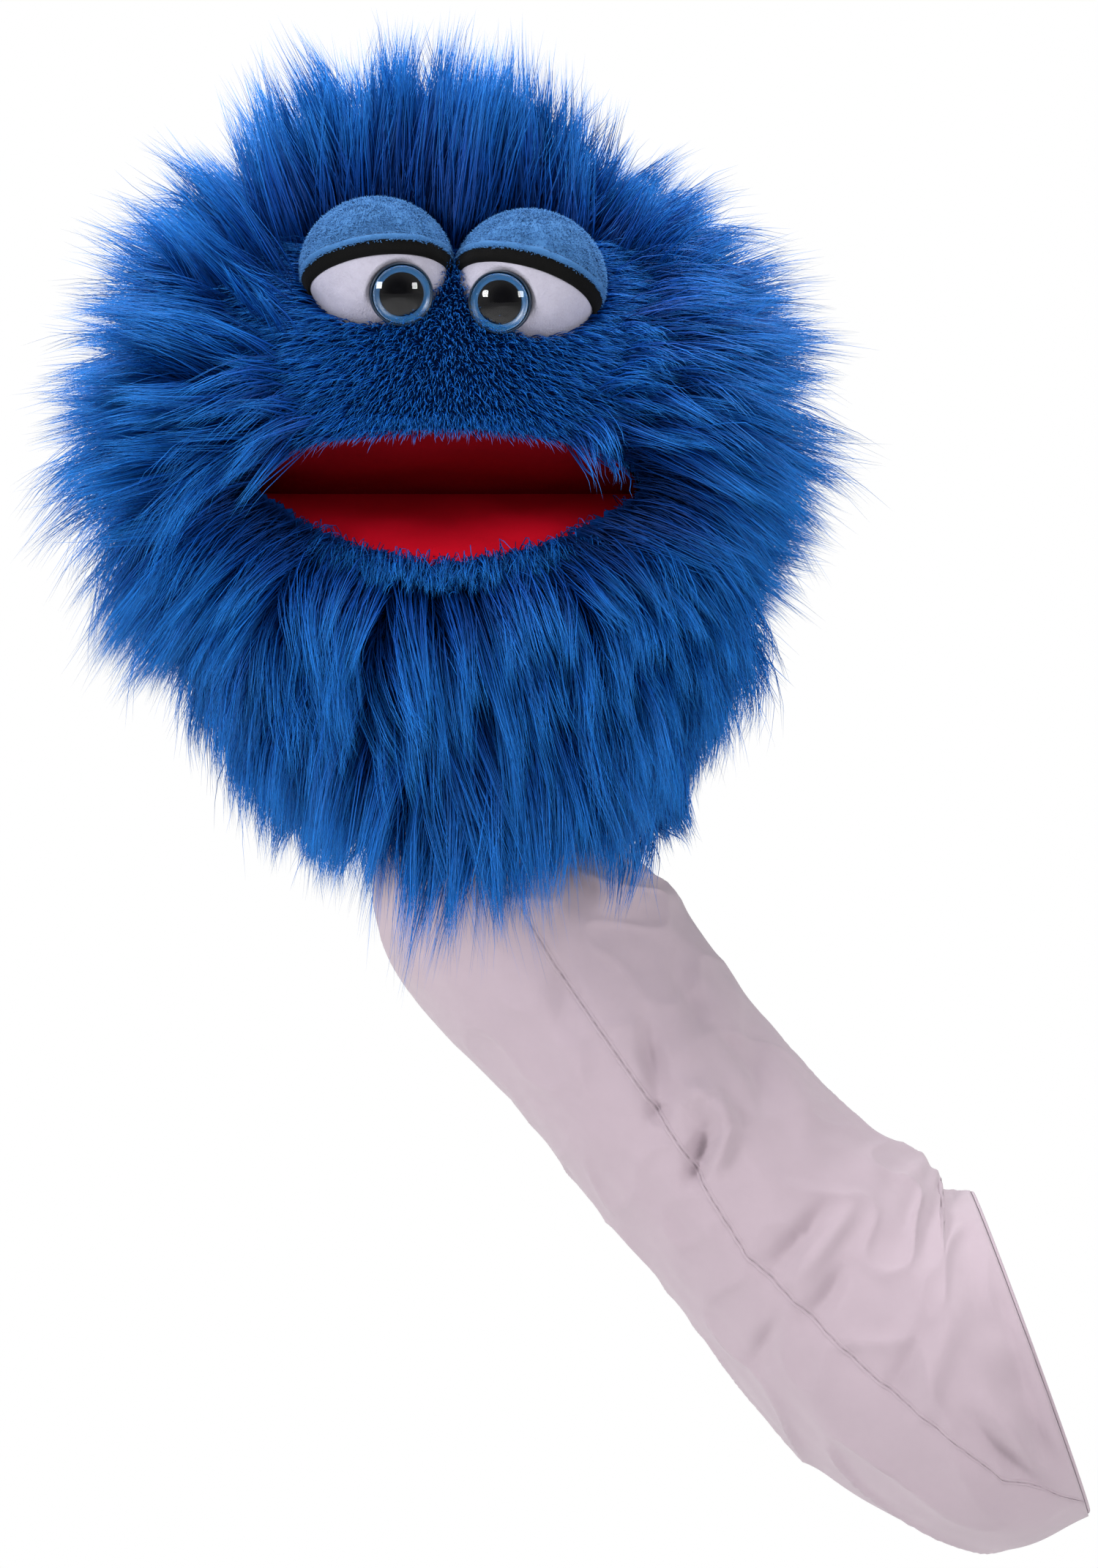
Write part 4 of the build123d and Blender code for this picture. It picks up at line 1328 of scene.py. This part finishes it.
class PUPPET_OT_sleeve(bpy.types.Operator):
    """Make the cotton sleeve with its folds, its long seam and its hem"""

    bl_idname = "puppet.sleeve"
    bl_label = "Sleeve"

    def execute(self, context):
        cloth = context.scene.puppet_cloth
        cotton = cloth_material("sleeve_cotton", tuple(cloth.sleeve))
        # The seam's sunk join is the cotton darkened, painted shade in the groove.
        groove_shade = cloth_material("seam_groove_shade", tinted(cloth.sleeve, 0.50), 3000.0)
        rows, columns = 216, 214
        shares = np.linspace(0, 1, rows)
        turns = np.linspace(-math.pi, math.pi, columns, endpoint=False)
        share, turn = np.meshgrid(shares, turns, indexing="ij")
        height = fold_height(share, turn, cloth.fold_depth)
        height += crease_height(self.surface(shares, turns, height))
        seam_turn = self.seam_turns(shares)
        beside = np.abs(turn - seam_turn) * 50
        pucker = 0.6 + 0.4 * np.sin(share * 260)
        height -= 0.0010 * np.exp(-((beside / 2.2) ** 2)) * pucker
        height *= np.clip((1.0 - share) / 0.04, 0.2, 1)
        points = self.surface(shares, turns, height)
        piece = new_piece("sleeve", points.reshape(-1, 3), grid_faces(rows, columns), cotton)
        thicken(piece, "Cloth", cloth.thickness, -1.0)
        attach(piece, "sleeve")
        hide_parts("sleeve_upper_panel", "sleeve_lower_panel", "sleeve_neck_band")
        self.seam(shares, turns, height, seam_turn, cotton, groove_shade)
        self.hem(cotton)
        return {"FINISHED"}

    def seam_turns(self, shares):
        """How far round from the front the seam lies, at each share of the way."""
        table = smooth_table(SLEEVE_ROUNDS, shares)
        line = np.array(SEAM_LINE, float)
        fine = np.linspace(0, len(line) - 1, 1200)
        spots = np.column_stack([np.interp(fine, np.arange(len(line)), line[:, i]) for i in (0, 1)])
        found = []
        for x, z, radius, fall in table:
            run = np.array((math.cos(math.radians(fall)), -math.sin(math.radians(fall))))
            upper = np.array((-run[1], run[0]))
            upper *= np.sign(upper.sum())
            away = spots - (x, z)
            level = np.abs(away @ run)
            spot = away[np.argmin(level)]
            found.append(math.asin(max(-0.97, min(0.97, float(spot @ upper) / radius))))
        return np.array(found)[:, None]

    def surface(self, shares, turns, height, lift=0.0):
        """Points of the sleeve; a turn of nought is the front and a quarter turn is the top."""
        table = smooth_table(SLEEVE_ROUNDS, shares)
        fall = np.radians(table[:, 3])
        centre = np.column_stack([table[:, 0], np.zeros(len(table)), table[:, 1]]) * 0.001
        run = np.column_stack([np.cos(fall), np.zeros(len(fall)), -np.sin(fall)])
        upper = np.cross(run, FRONT)
        upper *= np.sign(upper[:, 0] + upper[:, 2])[:, None]
        radius = table[:, 2] * 0.001
        reach = radius[:, None] + height + lift
        away = (
            np.cos(turns)[None, :, None] * FRONT[None, None] + np.sin(turns)[None, :, None] * upper[:, None]
        )
        return centre[:, None] + reach[..., None] * away

    def seam(self, shares, turns, height, seam_turn, cotton, groove_shade):
        """The pressed seam: two low ridges with the join sunk between them, the join in darker cotton for
        painted shade.
        """
        rows = len(shares)
        profile = ((-1.7, -0.4), (-1.1, 0.30), (-0.5, 0.38), (-0.22, 0.10), (0.0, -0.25))
        profile += ((0.22, 0.10), (0.5, 0.38), (1.1, 0.30), (1.7, -0.4))
        low, count = 10, len(profile)
        table = smooth_table(SLEEVE_ROUNDS, shares)
        points = []
        for row in range(low, rows):
            radius = table[row, 2] * 0.001
            stitch = 0.00010 * math.sin(row * 2.1)
            for across, up in profile:
                turn = seam_turn[row, 0] + across * 0.001 / radius
                place = (turn + math.pi) / (2 * math.pi) * len(turns)
                column = int(math.floor(place))
                part = place - column
                first, after = column % len(turns), (column + 1) % len(turns)
                lift = height[row, first] * (1 - part) + height[row, after] * part + up * 0.001 + stitch
                spot = self.surface(shares[row : row + 1], np.array([turn]), np.array([[lift]]))
                points.append(spot[0, 0])
        faces = grid_faces(rows - low, count, closed_across=False)
        piece = new_piece("sleeve_seam", points, faces, cotton)
        piece.data.materials.append(groove_shade)
        # The faces of the sunk join take the darker cotton, painted shade.
        for number, face in enumerate(piece.data.polygons):
            face.material_index = 1 if number % (count - 1) in (3, 4) else 0
        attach(piece, "sleeve")

    def hem(self, material):
        """The turned-in hem at the arm opening, gathered a little by its elastic."""
        outward = np.array((math.cos(math.radians(20)), 0, math.sin(math.radians(20))))
        profile = []
        for step in range(15):
            turn = math.pi * (0.5 - step / 14)
            profile.append((0.0612 + 0.0011 * math.sin(turn), 0.0002 + 0.0011 * math.cos(turn)))
        profile += [(0.0601, -0.003), (0.0600, -0.007), (0.0602, -0.0098), (0.0616, -0.0105)]
        segments = 240
        points = np.array(turned_about(np.zeros(3), outward, FRONT, profile, segments))
        ripple = np.sin(np.arange(segments) * 2 * math.pi / segments * 22)
        axial = points @ outward
        radial = points - axial[:, None] * outward
        amount = np.tile(ripple, len(profile)) * 0.00035 * np.clip(-axial / 0.006, 0, 1)
        points += unit(radial) * amount[:, None]
        piece = new_piece("sleeve_hem", points, grid_faces(len(profile), segments), material)
        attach(piece, "sleeve")
        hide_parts("cuff_hem", "cuff_elastic")


# ---- the stage ----------------------------------------------------------------------------
# Each lamp's place, the side of its square, and its power in watts.
LAMPS = (
    ("key_left", (-1.55, -1.02, 0.80), 0.50, 27.0),
    ("key_right", (1.00, -1.15, 0.75), 0.45, 15.0),
    ("top", (-0.2, 0.10, 1.6), 0.9, 34.0),
    ("fill", (-0.25, -2.3, 0.20), 1.2, 13.0),
)


class PUPPET_OT_stage(bpy.types.Operator):
    """Make the camera, the pale floor and the soft studio light"""

    bl_idname = "puppet.stage"
    bl_label = "Stage"

    def execute(self, context):
        scene = context.scene
        self.camera(scene)
        scene.view_settings.view_transform = "Standard"
        paper = new_material("floor_paper", (0.78, 0.78, 0.78), 0.9)[0]
        level, half, rear = -0.42, 5, 4.4
        corners = [(-half, -half, level), (half, -half, level), (half, rear, level), (-half, rear, level)]
        floor = new_piece("floor", corners, [(0, 1, 2, 3)], paper)
        self.world(scene)
        for name, place, size, power in LAMPS:
            self.lamp(scene, name, place, size, power)
        return {"FINISHED"}

    def camera(self, scene):
        """A long lens from the front, at the height of the puppet's middle."""
        height, distance, sensor = 0.568, 4.8, 36
        camera = bpy.data.cameras.new("camera")
        camera.sensor_fit = "VERTICAL"
        camera.sensor_height = sensor
        camera.lens = sensor * distance / height
        holder = bpy.data.objects.new("camera", camera)
        scene.collection.objects.link(holder)
        holder.location = (-0.1744, -distance - 0.02, 0.2068)
        holder.rotation_euler = (math.radians(90), 0, 0)
        scene.camera = holder

    def world(self, scene):
        """Soft light that is dim on the camera's side, behind a plain white background."""
        world = bpy.data.worlds.new("studio")
        world.use_nodes = True
        tree = world.node_tree
        soft = tree.nodes["Background"]
        place = tree.nodes.new("ShaderNodeTexCoord")
        parts = tree.nodes.new("ShaderNodeSeparateXYZ")
        tree.links.new(place.outputs["Generated"], parts.inputs[0])
        reach = tree.nodes.new("ShaderNodeMapRange")
        reach.interpolation_type = "SMOOTHSTEP"
        for label, value in (("From Min", -0.98), ("From Max", -0.55), ("To Min", 0.05), ("To Max", 0.55)):
            reach.inputs[label].default_value = value
        tree.links.new(parts.outputs[1], reach.inputs["Value"])
        tree.links.new(reach.outputs[0], soft.inputs[1])
        soft.inputs[0].default_value = (1, 1, 1, 1)
        plain = tree.nodes.new("ShaderNodeBackground")
        plain.inputs[0].default_value = (1, 1, 1, 1)
        light = tree.nodes.new("ShaderNodeLightPath")
        both = tree.nodes.new("ShaderNodeMixShader")
        tree.links.new(light.outputs["Is Camera Ray"], both.inputs[0])
        tree.links.new(soft.outputs[0], both.inputs[1])
        tree.links.new(plain.outputs[0], both.inputs[2])
        tree.links.new(both.outputs[0], tree.nodes["World Output"].inputs[0])
        scene.world = world

    def lamp(self, scene, name, place, size, power):
        """A square lamp turned to the head; the fill isn't seen in the plastic eyes."""
        light = bpy.data.lights.new(name, "AREA")
        light.shape = "SQUARE"
        light.size = size
        light.energy = power
        holder = bpy.data.objects.new(name, light)
        scene.collection.objects.link(holder)
        holder.location = place
        holder.rotation_euler = (Vector(HEAD_CENTRE) - Vector(place)).to_track_quat("-Z", "Y").to_euler()
        holder.visible_glossy = name != "fill"


class PUPPET_PT_panel(bpy.types.Panel):
    """The puppet's pieces, in the order they are made"""

    bl_idname = "PUPPET_PT_panel"
    bl_label = "Hand puppet"
    bl_space_type = "VIEW_3D"
    bl_region_type = "UI"
    bl_category = "Puppet"

    def draw(self, context):
        for operator in OPERATORS:
            self.layout.operator(operator.bl_idname)
        for settings in (context.scene.puppet_pile, context.scene.puppet_eyes, context.scene.puppet_cloth):
            for name in settings.bl_rna.properties.keys():
                if name not in {"rna_type", "name"}:
                    self.layout.prop(settings, name)


SETTINGS = {"puppet_pile": PileSettings, "puppet_eyes": EyeSettings, "puppet_cloth": ClothSettings}
OPERATORS = (
    PUPPET_OT_stage,
    PUPPET_OT_head_pile,
    PUPPET_OT_muzzle,
    PUPPET_OT_eyes,
    PUPPET_OT_mouth,
    PUPPET_OT_sleeve,
)


def register():
    for cls in (*SETTINGS.values(), *OPERATORS, PUPPET_PT_panel):
        bpy.utils.register_class(cls)
    for name, cls in SETTINGS.items():
        setattr(bpy.types.Scene, name, PointerProperty(type=cls))


def unregister():
    for name in SETTINGS:
        delattr(bpy.types.Scene, name)
    for cls in reversed((*SETTINGS.values(), *OPERATORS, PUPPET_PT_panel)):
        bpy.utils.unregister_class(cls)


def main():
    register()
    bpy.ops.puppet.stage()
    bpy.ops.puppet.head_pile()
    bpy.ops.puppet.muzzle()
    bpy.ops.puppet.eyes()
    bpy.ops.puppet.mouth()
    bpy.ops.puppet.sleeve()


if __name__ == "__main__":
    main()
